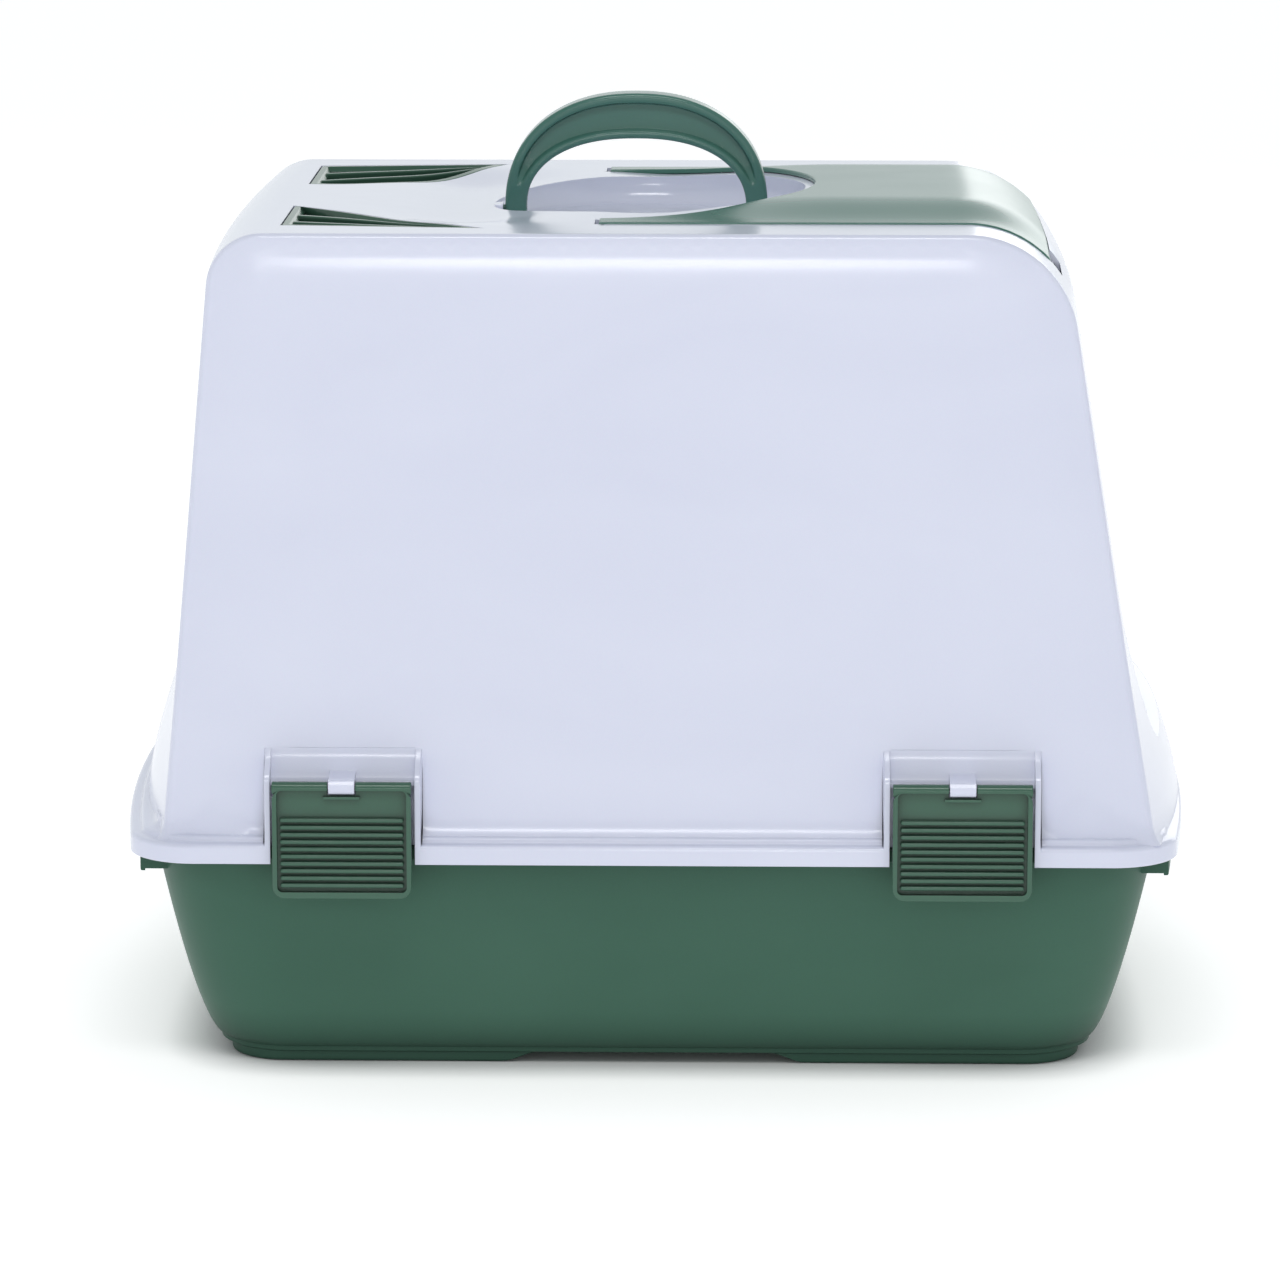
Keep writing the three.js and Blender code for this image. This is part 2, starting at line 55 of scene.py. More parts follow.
HOOD_TOP = 425.5
HOOD_WALL = 2.5
SIDE_TOP = 167.0
SIDE_FOOT = 184.5
WALL_FOOT_Z = 130.0
REAR_CORNER = 27.5
REAR_CORNER_X = -192.5
REAR_SLOPE = math.radians(4.9)
FRONT_CORNER = 55.0
FRONT_CORNER_X = 154.0
FRONT_SLOPE = math.radians(9.15)
END_BOW = 5.5
FOOT_BOW = 23.0
EDGE_ROUND = 3.2

FLAP_HALF_WIDTH = 124.0
FLAP_FRONT = 197.0
FLAP_REAR = -28.0
FLAP_AXIS_X = -26.0
FLAP_AXIS_Z = 423.7
FLAP_CUTOUT = 107.0
FIT_GAP = 0.6
RABBET = -2.0

DISH_X = -5.0
DISH_RADIUS = 81.0
DISH_FLOOR = 412.0

HANDLE_X = -11.7
HANDLE_PIVOT_Z = 419.0

DOOR_PIN_X = 210.55
DOOR_PIVOT_Z = 350.0
DOORWAY_HALF_WIDTH = 104.0

CLIP_X = 153.5
CLIP_AXIS_Y = 198.2
CLIP_AXIS_Z = 154.0
BAY_HALF_WIDTH = 35.9

PANEL_CROWN = 1.6    # how far a long side panel bulges in its middle
PANEL_FIELD = 0.2    # how much further its raised field stands out
FOOT_FLARE = 3.2     # how far the wall spreads where it meets the flange
FLARE_BOTTOM = 124.5
FLARE_TOP = 132.5


# ---- number helpers ----

def lerp(a, b, t):
    return a + (b - a) * t


def smoothstep(v, low, high):
    t = np.clip((np.asarray(v, float) - low) / (high - low), 0, 1)
    return t * t * (3 - 2 * t)


# ---- meshes and booleans ----

def make(name, points, faces):
    mesh = bpy.data.meshes.new(name)
    mesh.from_pydata([tuple(float(c) * MM for c in p) for p in points], [], faces)
    mesh.validate()
    obj = bpy.data.objects.new(name, mesh)
    bpy.context.scene.collection.objects.link(obj)
    return obj


def faces_agreeing(obj):
    """Turns neighbouring faces the same way round."""
    bm = bmesh.new()
    bm.from_mesh(obj.data)
    bmesh.ops.recalc_face_normals(bm, faces=bm.faces[:])
    bm.to_mesh(obj.data)
    bm.free()
    return obj


def facing_out(obj):
    """Turns a closed mesh's faces outward if its volume comes out negative."""
    mesh = obj.data
    mesh.calc_loop_triangles()
    co = np.array([v.co for v in mesh.vertices])
    tri = np.array([t.vertices for t in mesh.loop_triangles])
    a, b, c = co[tri[:, 0]], co[tri[:, 1]], co[tri[:, 2]]
    if np.einsum("ij,ij->", a, np.cross(b, c)) < 0:
        mesh.flip_normals()
    return obj


def stack(name, rings):
    """Closed solid through a stack of rings with equal counts, closed by a fan at each end."""
    count = len(rings[0])
    points = [tuple(p) for ring in rings for p in ring]
    faces = []
    for level in range(len(rings) - 1):
        base = level * count
        for i in range(count):
            j = (i + 1) % count
            faces.append((base + i, base + j, base + j + count, base + i + count))
    for ring, base, turn in ((rings[0], 0, True), (rings[-1], (len(rings) - 1) * count, False)):
        points.append(tuple(np.mean(np.array(ring), axis=0)))
        middle = len(points) - 1
        for i in range(count):
            j = (i + 1) % count
            faces.append((base + j, base + i, middle) if turn else (base + i, base + j, middle))
    return facing_out(make(name, points, faces))


def box(x0, x1, y0, y1, z0, z1):
    ring = [(x0, y0), (x1, y0), (x1, y1), (x0, y1)]
    return stack("tool", [[(x, y, z) for x, y in ring] for z in (z0, z1)])


def prism(outline, z0, z1):
    points = [(x, y, z) for z in (z0, z1) for x, y in outline]
    return extruded(points, len(outline))


def extruded(points, n):
    faces = [tuple(range(n)), tuple(range(2 * n - 1, n - 1, -1))]
    faces += [(i, i + n, (i + 1) % n + n, (i + 1) % n) for i in range(n)]
    return facing_out(make("tool", points, faces))


def along_x(outline, x0, x1):
    return extruded([(x, y, z) for x in (x0, x1) for y, z in outline], len(outline))


def along_y(outline, y0, y1):
    return extruded([(x, y, z) for y in (y0, y1) for x, z in outline], len(outline))


def rod(radius, length, axis, x, y, z, sides=32, rounding=0.0):
    """A round bar centred on (x, y, z), with its end edges rounded."""
    half = length / 2
    steps = [(half, 0.0)] if rounding == 0 else [
        (half - rounding * (1 - math.sin(a)), rounding * (1 - math.cos(a)))
        for a in np.linspace(0, PI / 2, 5)]
    levels = [(-s, i) for s, i in reversed(steps)] + steps
    rings = []
    for along, inset in levels:
        ring = []
        for k in range(sides):
            a = 2 * PI * k / sides
            u, v = (radius - inset) * math.cos(a), (radius - inset) * math.sin(a)
            ring.append({"x": (x + along, y + u, z + v),
                         "y": (x + u, y + along, z + v),
                         "z": (x + u, y + v, z + along)}[axis])
        rings.append(ring)
    return stack("tool", rings)


def combine(a, b, how):
    modifier = a.modifiers.new("combine", "BOOLEAN")
    modifier.operation = how
    modifier.solver = "MANIFOLD"
    modifier.object = b
    depsgraph = bpy.context.evaluated_depsgraph_get()
    mesh = bpy.data.meshes.new_from_object(a.evaluated_get(depsgraph))
    a.modifiers.clear()
    old = a.data
    a.data = mesh
    bpy.data.meshes.remove(old)
    bpy.data.objects.remove(b)
    return a


def join(a, *others):
    for b in others:
        combine(a, b, "UNION")
    return a


def cut(a, *others):
    for b in others:
        combine(a, b, "DIFFERENCE")
    return a


def meet(a, b):
    return combine(a, b, "INTERSECT")


def turned_about_z(obj):
    obj.data.transform(Matrix.Rotation(PI, 4, "Z"))
    return obj


# ---- plan outlines ----

def arc(cx, cy, radius, start, end, steps):
    return [(cx + radius * math.cos(a), cy + radius * math.sin(a)) for a in np.linspace(start, end, steps)]


def rounded_outline(half_width, low, high, radius, steps=9):
    r = radius
    return (arc(half_width - r, low + r, r, -PI / 2, 0, steps)
            + arc(half_width - r, high - r, r, 0, PI / 2, steps)
            + arc(-half_width + r, high - r, r, PI / 2, PI, steps)
            + arc(-half_width + r, low + r, r, PI, 1.5 * PI, steps))


def bowed_ring(z, half_length, half_width, corner, bow):
    flat = half_width - corner
    corner_ys = [-(flat + corner * math.cos(a)) for a in np.linspace(0, PI / 2, 13)]
    ys = corner_ys + list(np.linspace(-flat, flat, 31)[1:-1]) + [-y for y in reversed(corner_ys)]
    right = []
    for y in ys:
        past = max(abs(y) - flat, 0)
        back = corner - math.sqrt(max(corner ** 2 - past ** 2, 0))
        right.append((half_length - back + bow * (1 - (y / half_width) ** 2), y, z))
    return right + [(-x, -y, z) for x, y, z in right]


def rim_ring(z, inset):
    return bowed_ring(z, RIM_HALF_LENGTH - inset, RIM_HALF_WIDTH - inset, RIM_CORNER - inset, RIM_BOW)


# ---- the hood's skin ----

def crown(x):
    """How far the top bulges along its middle: up under the flap, down behind the dish."""
    return 7 * smoothstep(x, -60, 95) - 5.5 * np.exp(-(((x + 98) / 32) ** 2))


def half_width_at(z):
    return lerp(SIDE_TOP, SIDE_FOOT, (HOOD_TOP - z) / (HOOD_TOP - WALL_FOOT_Z))


def wall_bow(z):
    """How far an end wall bulges in its middle at height z."""
    return END_BOW + (FOOT_BOW - END_BOW) * (1 - smoothstep(z, 125, 230))


def foot_flare(z, flare):
    return flare * (1 - smoothstep(z, FLARE_BOTTOM, FLARE_TOP)) ** 2


def profile(bottom):
    """Stations (x, z, side) from the rear foot over the top to the front foot."""
    rear_end = REAR_CORNER_X - REAR_CORNER * math.cos(REAR_SLOPE)
    rear_end_z = HOOD_TOP - REAR_CORNER + REAR_CORNER * math.sin(REAR_SLOPE)
    front_end = FRONT_CORNER_X + FRONT_CORNER * math.cos(FRONT_SLOPE)
    front_end_z = HOOD_TOP - FRONT_CORNER + FRONT_CORNER * math.sin(FRONT_SLOPE)
    low = [bottom] + [z for z in np.arange(128, 150, 3) if z > bottom + 2]
    stations = []
    for z in low + list(np.linspace(156, rear_end_z, 24)[:-1]):
        stations.append((rear_end - (rear_end_z - z) * math.tan(REAR_SLOPE), z, -1.0))
    for t in np.linspace(1, 0, 16)[:-1]:
        angle = t * (PI / 2 - REAR_SLOPE)
        stations.append((REAR_CORNER_X - REAR_CORNER * math.sin(angle),
                         HOOD_TOP - REAR_CORNER * (1 - math.cos(angle)), -t))
    for x in np.linspace(REAR_CORNER_X, FRONT_CORNER_X, 64):
        stations.append((x, HOOD_TOP, 0.0))
    for t in np.linspace(0, 1, 25)[1:]:
        angle = t * (PI / 2 - FRONT_SLOPE)
        stations.append((FRONT_CORNER_X + FRONT_CORNER * math.sin(angle),
                         HOOD_TOP - FRONT_CORNER * (1 - math.cos(angle)), t))
    for z in list(np.linspace(front_end_z, 156, 22)[1:]) + low[::-1]:
        stations.append((front_end + (front_end_z - z) * math.tan(FRONT_SLOPE), z, 1.0))
    return np.array(stations)


FLOOR_STATIONS = 24    # points that close each ring along its bottom


def skin_ring(stations, offset, hand, share, from_edge, inset, flare=0.0):
    """One ring of the skin at a constant share of the half width."""
    x, z, side = stations[:, 0], stations[:, 1], stations[:, 2]
    full = half_width_at(z)
    foot = foot_flare(z, flare)
    y = hand * ((full + foot) * share - from_edge)
    across = 1 - np.clip((y / full) ** 2, 0, 1)
    top_bulge = crown(x) * (1 - smoothstep(np.abs(y), 70, 128))
    bulge = lerp(top_bulge, wall_bow(z) * across, np.abs(side))
    out = bulge + offset - inset + foot * np.abs(side) * (1 - across)
    angle = side * PI / 2
    ring = np.stack([x + out * np.sin(angle), y, z + out * np.cos(angle)], axis=1)
    under = [lerp(ring[-1], ring[0], t) for t in np.linspace(0, 1, FLOOR_STATIONS + 2)[1:-1]]
    return np.concatenate([ring, under])


# Rows of points along a side panel's edge: depth from the edge, least distance kept from it.
PANEL_ROWS = [(1.2, 0.8), (2.6, 2), (4.4, 3.6), (6.6, 5.6), (9.5, 8), (13, 11), (17, 14), (21, 18)]


def side_panel(stations, ring, hand, relief, flare):
    """Points and triangles that close a side panel, crowned by `relief`, with a faint raised field."""
    outline = np.array(ring)[:, [0, 2]]
    edge = outline[:len(stations)]
    tangent = np.gradient(edge, axis=0)
    tangent /= np.linalg.norm(tangent, axis=1)[:, None]
    inward = np.stack([tangent[:, 1], -tangent[:, 0]], axis=1)
    free = []
    for depth, margin in PANEL_ROWS:
        row = edge[::2] + inward[::2] * depth
        free.append(row[inside_outline(row, outline, margin)])
    gx, gz = np.meshgrid(np.arange(-236, 240, 5.0), np.arange(128, 420, 5.0))
    gx = gx + 2.5 * (np.arange(gx.shape[0]) % 2)[:, None]
    grid = np.stack([gx.ravel(), gz.ravel()], axis=1)
    free.append(grid[inside_outline(grid, outline, 22)])
    low = np.meshgrid(np.arange(-200, 200, 5.0), [128.0, 132.0, 137.0, 143.0])
    free.append(np.stack(low, axis=-1).reshape(-1, 2))
    free = np.concatenate(free)
    verts, _, faces, _, _, _ = delaunay_2d_cdt(
        [Vector(p) for p in outline] + [Vector(p) for p in free],
        [(i, (i + 1) % len(outline)) for i in range(len(outline))], [], 1, 1e-5)
    xz = np.array([tuple(v) for v in verts])
    gap = np.full(len(xz), 1e9)
    for (ax, az), (bx, bz) in zip(edge[:-1], edge[1:]):
        d = np.array([bx - ax, bz - az])
        t = np.clip(((xz - (ax, az)) @ d) / max(d @ d, 1e-9), 0, 1)
        gap = np.minimum(gap, np.hypot(xz[:, 0] - ax - t * d[0], xz[:, 1] - az - t * d[1]))
    lift = relief * (1 - (1 - np.clip(gap / 24, 0, 1)) ** 2) + PANEL_FIELD * smoothstep(gap, 50, 62)
    y = hand * (half_width_at(xz[:, 1]) + foot_flare(xz[:, 1], flare) + lift)
    y[:len(outline)] = np.array(ring)[:, 1]
    return np.stack([xz[:, 0], y, xz[:, 1]], axis=1), [tuple(f) for f in faces]


def filled_hood(name, offset, bottom, inset_half=None, panel=0.0, flare=0.0):
    """Solid filled out to the hood's skin, moved outward by `offset`."""
    if inset_half is None:
        inset_half = -offset
    stations = profile(bottom)
    rows = [(1.0, EDGE_ROUND * (1 - math.cos(a)), EDGE_ROUND * (1 - math.sin(a)))
            for a in np.linspace(0, PI / 2, 8)]
    rows += [(share, 0.0, 0.0) for share in np.linspace(1, 0, 34)[1:] if share < 0.975]
    near = [skin_ring(stations, offset, -1, s, f + (inset_half if s == 1.0 else 0), i, flare)
            for s, f, i in rows]
    far = [skin_ring(stations, offset, 1, s, f + (inset_half if s == 1.0 else 0), i, flare)
           for s, f, i in rows[:-1]][::-1]
    if not panel:
        return stack(name, near + far)
    rings = near + far
    count = len(rings[0])
    points = [tuple(p) for ring in rings for p in ring]
    faces = [(base + i, base + (i + 1) % count, base + (i + 1) % count + count, base + i + count)
             for base in range(0, (len(rings) - 1) * count, count) for i in range(count)]
    for ring, first, hand in ((rings[0], 0, -1), (rings[-1], (len(rings) - 1) * count, 1)):
        more, triangles = side_panel(stations, ring, hand, panel, flare)
        moved = [first + i if i < count else len(points) + i - count for i in range(len(more))]
        points += [tuple(p) for p in more[count:]]
        faces += [tuple(moved[i] for i in f) for f in triangles]
    return facing_out(faces_agreeing(make(name, points, faces)))


BELOW = 60.0     # a height under the hood, for solids that cut it from below
ABOVE = 470.0    # a height over the hood, for solids that cut it from above


def top_height(x, y, offset):
    """Height of the top skin, moved outward by `offset`, over a point of the plan."""
    x, y = np.asarray(x, float), np.asarray(y, float)
    low, high = np.full(x.shape, -220.0), np.full(x.shape, 230.0)
    for _ in range(40):
        s = (low + high) / 2
        px, pz = along_top(s, y, offset)
        beyond = px > x
        high = np.where(beyond, s, high)
        low = np.where(beyond, low, s)
    return along_top((low + high) / 2, y, offset)[1]


def along_top(s, y, offset):
    """Plan place and height of the skin at running length s along the top."""
    front = np.clip((s - FRONT_CORNER_X) / FRONT_CORNER, 0, PI / 2 - FRONT_SLOPE)
    rear = np.clip((REAR_CORNER_X - s) / REAR_CORNER, 0, PI / 2 - REAR_SLOPE)
    x = np.clip(s, REAR_CORNER_X, FRONT_CORNER_X)
    x = x + FRONT_CORNER * np.sin(front) - REAR_CORNER * np.sin(rear)
    z = HOOD_TOP - FRONT_CORNER * (1 - np.cos(front)) - REAR_CORNER * (1 - np.cos(rear))
    side = front / (PI / 2 - FRONT_SLOPE) - rear / (PI / 2 - REAR_SLOPE)
    across = 1 - np.clip((y / half_width_at(z)) ** 2, 0, 1)
    top_bulge = crown(x) * (1 - smoothstep(np.abs(y), 70, 128))
    out = lerp(top_bulge, wall_bow(z) * across, np.abs(side)) + offset
    return x + out * np.sin(side * PI / 2), z + out * np.cos(side * PI / 2)


# ---- plates that follow the hood's top ----

def inside_outline(points, outline, margin):
    """Which points lie inside a closed outline and at least `margin` from it."""
    p, o = np.asarray(points, float), np.asarray(outline, float)
    a, b = o, np.roll(o, -1, axis=0)
    inside = np.zeros(len(p), bool)
    nearest = np.full(len(p), 1e9)
    for (ax, ay), (bx, by) in zip(a, b):
        crosses = (ay > p[:, 1]) != (by > p[:, 1])
        with np.errstate(divide="ignore", invalid="ignore"):
            at = ax + (p[:, 1] - ay) * (bx - ax) / (by - ay)
        inside ^= crosses & (p[:, 0] < at)
        d = np.array([bx - ax, by - ay])
        t = np.clip(((p - (ax, ay)) @ d) / max(d @ d, 1e-9), 0, 1)
        nearest = np.minimum(nearest, np.hypot(p[:, 0] - ax - t * d[0], p[:, 1] - ay - t * d[1]))
    return inside & (nearest > margin)


def cap(outline, height, grid):
    """Points and triangles that fill an outline, with a grid of points inside it."""
    o = np.array(outline)
    xs = np.arange(o[:, 0].min(), o[:, 0].max(), grid)
    ys = np.arange(o[:, 1].min(), o[:, 1].max(), grid)
    gx, gy = np.meshgrid(xs, ys)
    free = np.stack([gx.ravel(), gy.ravel()], axis=1)
    free = free[inside_outline(free, outline, grid * 0.45)]
    flat = [Vector(p) for p in outline] + [Vector(p) for p in free]
    edges = [(i, (i + 1) % len(outline)) for i in range(len(outline))]
    verts, _, faces, _, _, _ = delaunay_2d_cdt(flat, edges, [], 1, 1e-5)
    assert len(verts) == len(flat)
    z = height(np.array([v.x for v in verts]), np.array([v.y for v in verts]))
    return [(v.x, v.y, h) for v, h in zip(verts, z)], [tuple(f) for f in faces]


def plate(name, levels, grid=6.0):
    """Closed plate through levels of (outline, height function), filled by a grid at each end."""
    count = len(levels[0][0])
    points, faces = [], []
    for k, (outline, height) in enumerate(levels):
        if k in (0, len(levels) - 1):
            continue
        xy = np.array(outline)
        points += [(x, y, z) for (x, y), z in zip(outline, height(xy[:, 0], xy[:, 1]))]
    low_points, low_faces = cap(*levels[0], grid)
    high_points, high_faces = cap(*levels[-1], grid)
    start = len(points)
    points += low_points
    high_start = len(points)
    points += high_points
    faces += [tuple(start + i for i in f) for f in low_faces]
    faces += [tuple(high_start + i for i in f) for f in high_faces]
    bases = [start] + [k * count for k in range(len(levels) - 2)] + [high_start]
    sides = []
    for a, b in zip(bases, bases[1:]):
        for i in range(count):
            j = (i + 1) % count
            sides.append((a + i, a + j, b + j, b + i))
    return facing_out(faces_agreeing(make(name, points, faces + sides)))


def skin_at(offset):
    return lambda x, y: top_height(x, y, offset)


def level_at(z):
    return lambda x, y: np.full(np.shape(x), float(z))


def rounded_plate(name, outline_at, low, high, rounding, grid=6.0, steps=4):
    """A plate between two skins, with its upper edge rounded."""
    levels = [(outline_at(0), skin_at(low))]
    for a in np.linspace(0, PI / 2, steps + 1):
        inset = rounding * (1 - math.cos(a))
        levels.append((outline_at(inset), skin_at(high - rounding * (1 - math.sin(a)))))
    return plate(name, levels, grid)


def spaced(points, step):
    """The same closed outline with points no further apart than `step`."""
    out = []
    for a, b in zip(points, points[1:] + points[:1]):
        n = max(1, int(math.hypot(b[0] - a[0], b[1] - a[1]) / step))
        out += [(lerp(a[0], b[0], k / n), lerp(a[1], b[1], k / n)) for k in range(n)]
    return out


def flap_outline(inset):
    """Flap plan: a rectangle with the round cutout and two arms that reach back to the hinge."""
    half, front, rear = FLAP_HALF_WIDTH - inset, FLAP_FRONT - inset, FLAP_REAR + inset
    r = FLAP_CUTOUT + inset
    corner = 3.0
    front_corner = arc(front - corner, -(half - corner), corner, -PI / 2, 0, 6)
    points = [(x, -half) for x in np.linspace(rear, front - corner, 40)[:-1]]
    points += front_corner
    points += [(front, y) for y in np.linspace(-(half - corner), half - corner, 46)[1:-1]]
    points += [(x, -y) for x, y in reversed(front_corner)]
    points += [(x, half) for x in np.linspace(front - corner, rear, 40)[1:]]
    points += [(x, r) for x in np.linspace(rear, FLAP_AXIS_X, 2)]
    points += arc(FLAP_AXIS_X, 0, r, PI / 2, -PI / 2, 90)[1:-1]
    points += [(x, -r) for x in np.linspace(FLAP_AXIS_X, rear, 2)]
    return points


# Each vent's leaf: where its curved edge starts across the rear, and where it bends towards.
LEAF_FAR = (46, (-140, 32))
LEAF_NEAR = (50, (-150, 80))
LEAF_INSIDE = (46, (-143, 52))


def curve(a, b, c):
    """Points along the quadratic curve from a to c that bends towards b."""
    return [tuple((1 - t) ** 2 * p + 2 * t * (1 - t) * q + t * t * r for p, q, r in zip(a, b, c))
            for t in np.linspace(0, 1, 25)]


def line(a, b, steps):
    return [tuple(lerp(p, q, t) for p, q in zip(a, b)) for t in np.linspace(0, 1, steps)]


def on_side(sign, points):
    """An outline of the far side, or its mirror image on the near side."""
    points = [(x, sign * y) for x, y in points]
    return points if sign > 0 else points[::-1]


def leaf_outline(sign, grow, shape=None):
    first, (bend_x, bend_y) = shape or (LEAF_FAR if sign > 0 else LEAF_NEAR)
    rear = -186 - grow
    start, outer = (rear, first - grow), (rear, 132 + grow)
    bend = (bend_x + grow * 0.6, bend_y - grow)
    tip = (-84 + 2.2 * grow, 142 + grow)
    return on_side(sign, curve(start, bend, tip) + line(tip, outer, 15)[1:] + line(outer, start, 13)[1:-1])


def slat_outline(sign, start, width):
    points = []
    for shift in (-width / 2, width / 2):
        row = curve((-189, start + shift),
                    (-140, lerp(88, 116, (start - 66) / 34) + shift),
                    (-88, 139.5 + shift * 0.4))
        points += row if shift < 0 else row[::-1]
    return on_side(sign, points)


def circle(x, y, radius, steps=128):
    return [(x + radius * math.cos(a), y + radius * math.sin(a))
            for a in np.arange(steps) * 2 * PI / steps]


# ---- materials ----

def plastic(name, base, tint, roughness, coat=0.0, transmission=0.0, grain=0.02, edge=0.0005,
            flow=1.0, specular=0.5, painted_crevice_shade=0.0):
    """Moulded plastic: slow colour flow, fine speckle, uneven gloss, faint moulding ripple, softened edges,
    and painted shade: the colour darkens in crevices by the share `painted_crevice_shade`."""
    material = bpy.data.materials.new(name)
    material.use_nodes = True
    tree = material.node_tree
    tree.nodes.clear()
    out = tree.nodes.new("ShaderNodeOutputMaterial")
    shader = tree.nodes.new("ShaderNodeBsdfPrincipled")
    tree.links.new(shader.outputs["BSDF"], out.inputs["Surface"])
    shader.inputs["IOR"].default_value = 1.49
    shader.inputs["Specular IOR Level"].default_value = specular
    shader.inputs["Coat Weight"].default_value = coat
    shader.inputs["Coat Roughness"].default_value = 0.06
    shader.inputs["Transmission Weight"].default_value = transmission

    place = tree.nodes.new("ShaderNodeTexCoord")
    slow = tree.nodes.new("ShaderNodeTexNoise")
    slow.inputs["Scale"].default_value = 5.5
    slow.inputs["Detail"].default_value = 2.0
    slow.inputs["Distortion"].default_value = 1.2
    stretch = tree.nodes.new("ShaderNodeMapping")
    stretch.inputs["Scale"].default_value = (0.8, 0.8, 1.6)
    tree.links.new(place.outputs["Object"], stretch.inputs["Vector"])
    tree.links.new(stretch.outputs["Vector"], slow.inputs["Vector"])
    speck = tree.nodes.new("ShaderNodeTexNoise")
    speck.inputs["Scale"].default_value = 900.0
    speck.inputs["Detail"].default_value = 2.0
    tree.links.new(place.outputs["Object"], speck.inputs["Vector"])

    blendfac = tree.nodes.new("ShaderNodeMapRange")
    blendfac.inputs["From Min"].default_value = 0.3
    blendfac.inputs["From Max"].default_value = 0.7
    blendfac.inputs["To Max"].default_value = flow
    tree.links.new(slow.outputs["Fac"], blendfac.inputs["Value"])
    colour = tree.nodes.new("ShaderNodeMix")
    colour.data_type = "RGBA"
    colour.inputs["A"].default_value = (*base, 1)
    colour.inputs["B"].default_value = (*tint, 1)
    tree.links.new(blendfac.outputs["Result"], colour.inputs["Factor"])
    fleck = tree.nodes.new("ShaderNodeMix")
    fleck.data_type = "RGBA"
    fleck.blend_type = "OVERLAY"
    fleck.inputs["Factor"].default_value = 0.05
    tree.links.new(colour.outputs["Result"], fleck.inputs["A"])
    tree.links.new(speck.outputs["Color"], fleck.inputs["B"])
    shaded = fleck
    # Painted shade: ambient occlusion darkens the base colour in crevices, under ledges and between ribs.
    if painted_crevice_shade:
        crevice_shade_ao = tree.nodes.new("ShaderNodeAmbientOcclusion")
        crevice_shade_ao.samples = 4
        crevice_shade_ao.inputs["Distance"].default_value = 0.03
        depth = tree.nodes.new("ShaderNodeMapRange")
        depth.inputs["From Min"].default_value = 0.25
        depth.inputs["From Max"].default_value = 0.95
        depth.inputs["To Min"].default_value = 1.0 - painted_crevice_shade
        tree.links.new(crevice_shade_ao.outputs["AO"], depth.inputs["Value"])
        shaded = tree.nodes.new("ShaderNodeMix")
        shaded.data_type = "RGBA"
        shaded.inputs["A"].default_value = (0, 0, 0, 1)
        tree.links.new(depth.outputs["Result"], shaded.inputs["Factor"])
        tree.links.new(fleck.outputs["Result"], shaded.inputs["B"])
    tree.links.new(shaded.outputs["Result"], shader.inputs["Base Color"])

    rough = tree.nodes.new("ShaderNodeMapRange")
    rough.inputs["To Min"].default_value = roughness * 0.8
    rough.inputs["To Max"].default_value = roughness * 1.25
    tree.links.new(slow.outputs["Fac"], rough.inputs["Value"])
    tree.links.new(rough.outputs["Result"], shader.inputs["Roughness"])

    ripple = tree.nodes.new("ShaderNodeTexNoise")
    ripple.inputs["Scale"].default_value = 38.0
    ripple.inputs["Detail"].default_value = 1.0
    tree.links.new(place.outputs["Object"], ripple.inputs["Vector"])
    soften = tree.nodes.new("ShaderNodeBevel")
    soften.samples = 6
    soften.inputs["Radius"].default_value = edge
    wave = tree.nodes.new("ShaderNodeBump")
    wave.inputs["Strength"].default_value = 0.12
    wave.inputs["Distance"].default_value = 0.0004
    tree.links.new(ripple.outputs["Fac"], wave.inputs["Height"])
    tree.links.new(soften.outputs["Normal"], wave.inputs["Normal"])
    fine = tree.nodes.new("ShaderNodeBump")
    fine.inputs["Strength"].default_value = grain
    fine.inputs["Distance"].default_value = 0.0001
    tree.links.new(speck.outputs["Fac"], fine.inputs["Height"])
    tree.links.new(wave.outputs["Normal"], fine.inputs["Normal"])
    tree.links.new(fine.outputs["Normal"], shader.inputs["Normal"])
    return material


def foam(name):
    """Open-cell carbon foam."""
    material = bpy.data.materials.new(name)
    material.use_nodes = True
    tree = material.node_tree
    shader = tree.nodes["Principled BSDF"]
    place = tree.nodes.new("ShaderNodeTexCoord")
    cells = tree.nodes.new("ShaderNodeTexVoronoi")
    cells.inputs["Scale"].default_value = 700.0
    tree.links.new(place.outputs["Object"], cells.inputs["Vector"])
    ramp = tree.nodes.new("ShaderNodeValToRGB")
    ramp.color_ramp.elements[0].color = (0.002, 0.002, 0.002, 1)
    ramp.color_ramp.elements[1].color = (0.03, 0.032, 0.034, 1)
    tree.links.new(cells.outputs["Distance"], ramp.inputs["Fac"])
    tree.links.new(ramp.outputs["Color"], shader.inputs["Base Color"])
    bump = tree.nodes.new("ShaderNodeBump")
    bump.inputs["Strength"].default_value = 0.9
    bump.inputs["Distance"].default_value = 0.0008
    tree.links.new(cells.outputs["Distance"], bump.inputs["Height"])
    tree.links.new(bump.outputs["Normal"], shader.inputs["Normal"])
    shader.inputs["Roughness"].default_value = 0.95
    return material


WHITE = plastic("white_moulded", (0.68, 0.70, 0.84), (0.71, 0.73, 0.865), 0.16, coat=0.08)
# The green clips and the tray carry painted shade in their crevices.
GREEN = plastic("green_moulded", (0.044, 0.118, 0.078), (0.050, 0.128, 0.086), 0.22, specular=0.45,
                painted_crevice_shade=0.6)
GLOSSY_GREEN = plastic("green_gloss_moulded", (0.056, 0.162, 0.130), (0.064, 0.174, 0.140), 0.21)
TRAY_GREEN = plastic("green_tray_moulded", (0.052, 0.128, 0.090), (0.058, 0.138, 0.098), 0.42, specular=0.15,
                     painted_crevice_shade=0.5)
SMOKED = plastic("smoked_moulded", (0.30, 0.40, 0.35), (0.26, 0.36, 0.31), 0.12, transmission=0.85)
CARBON = foam("carbon_foam")


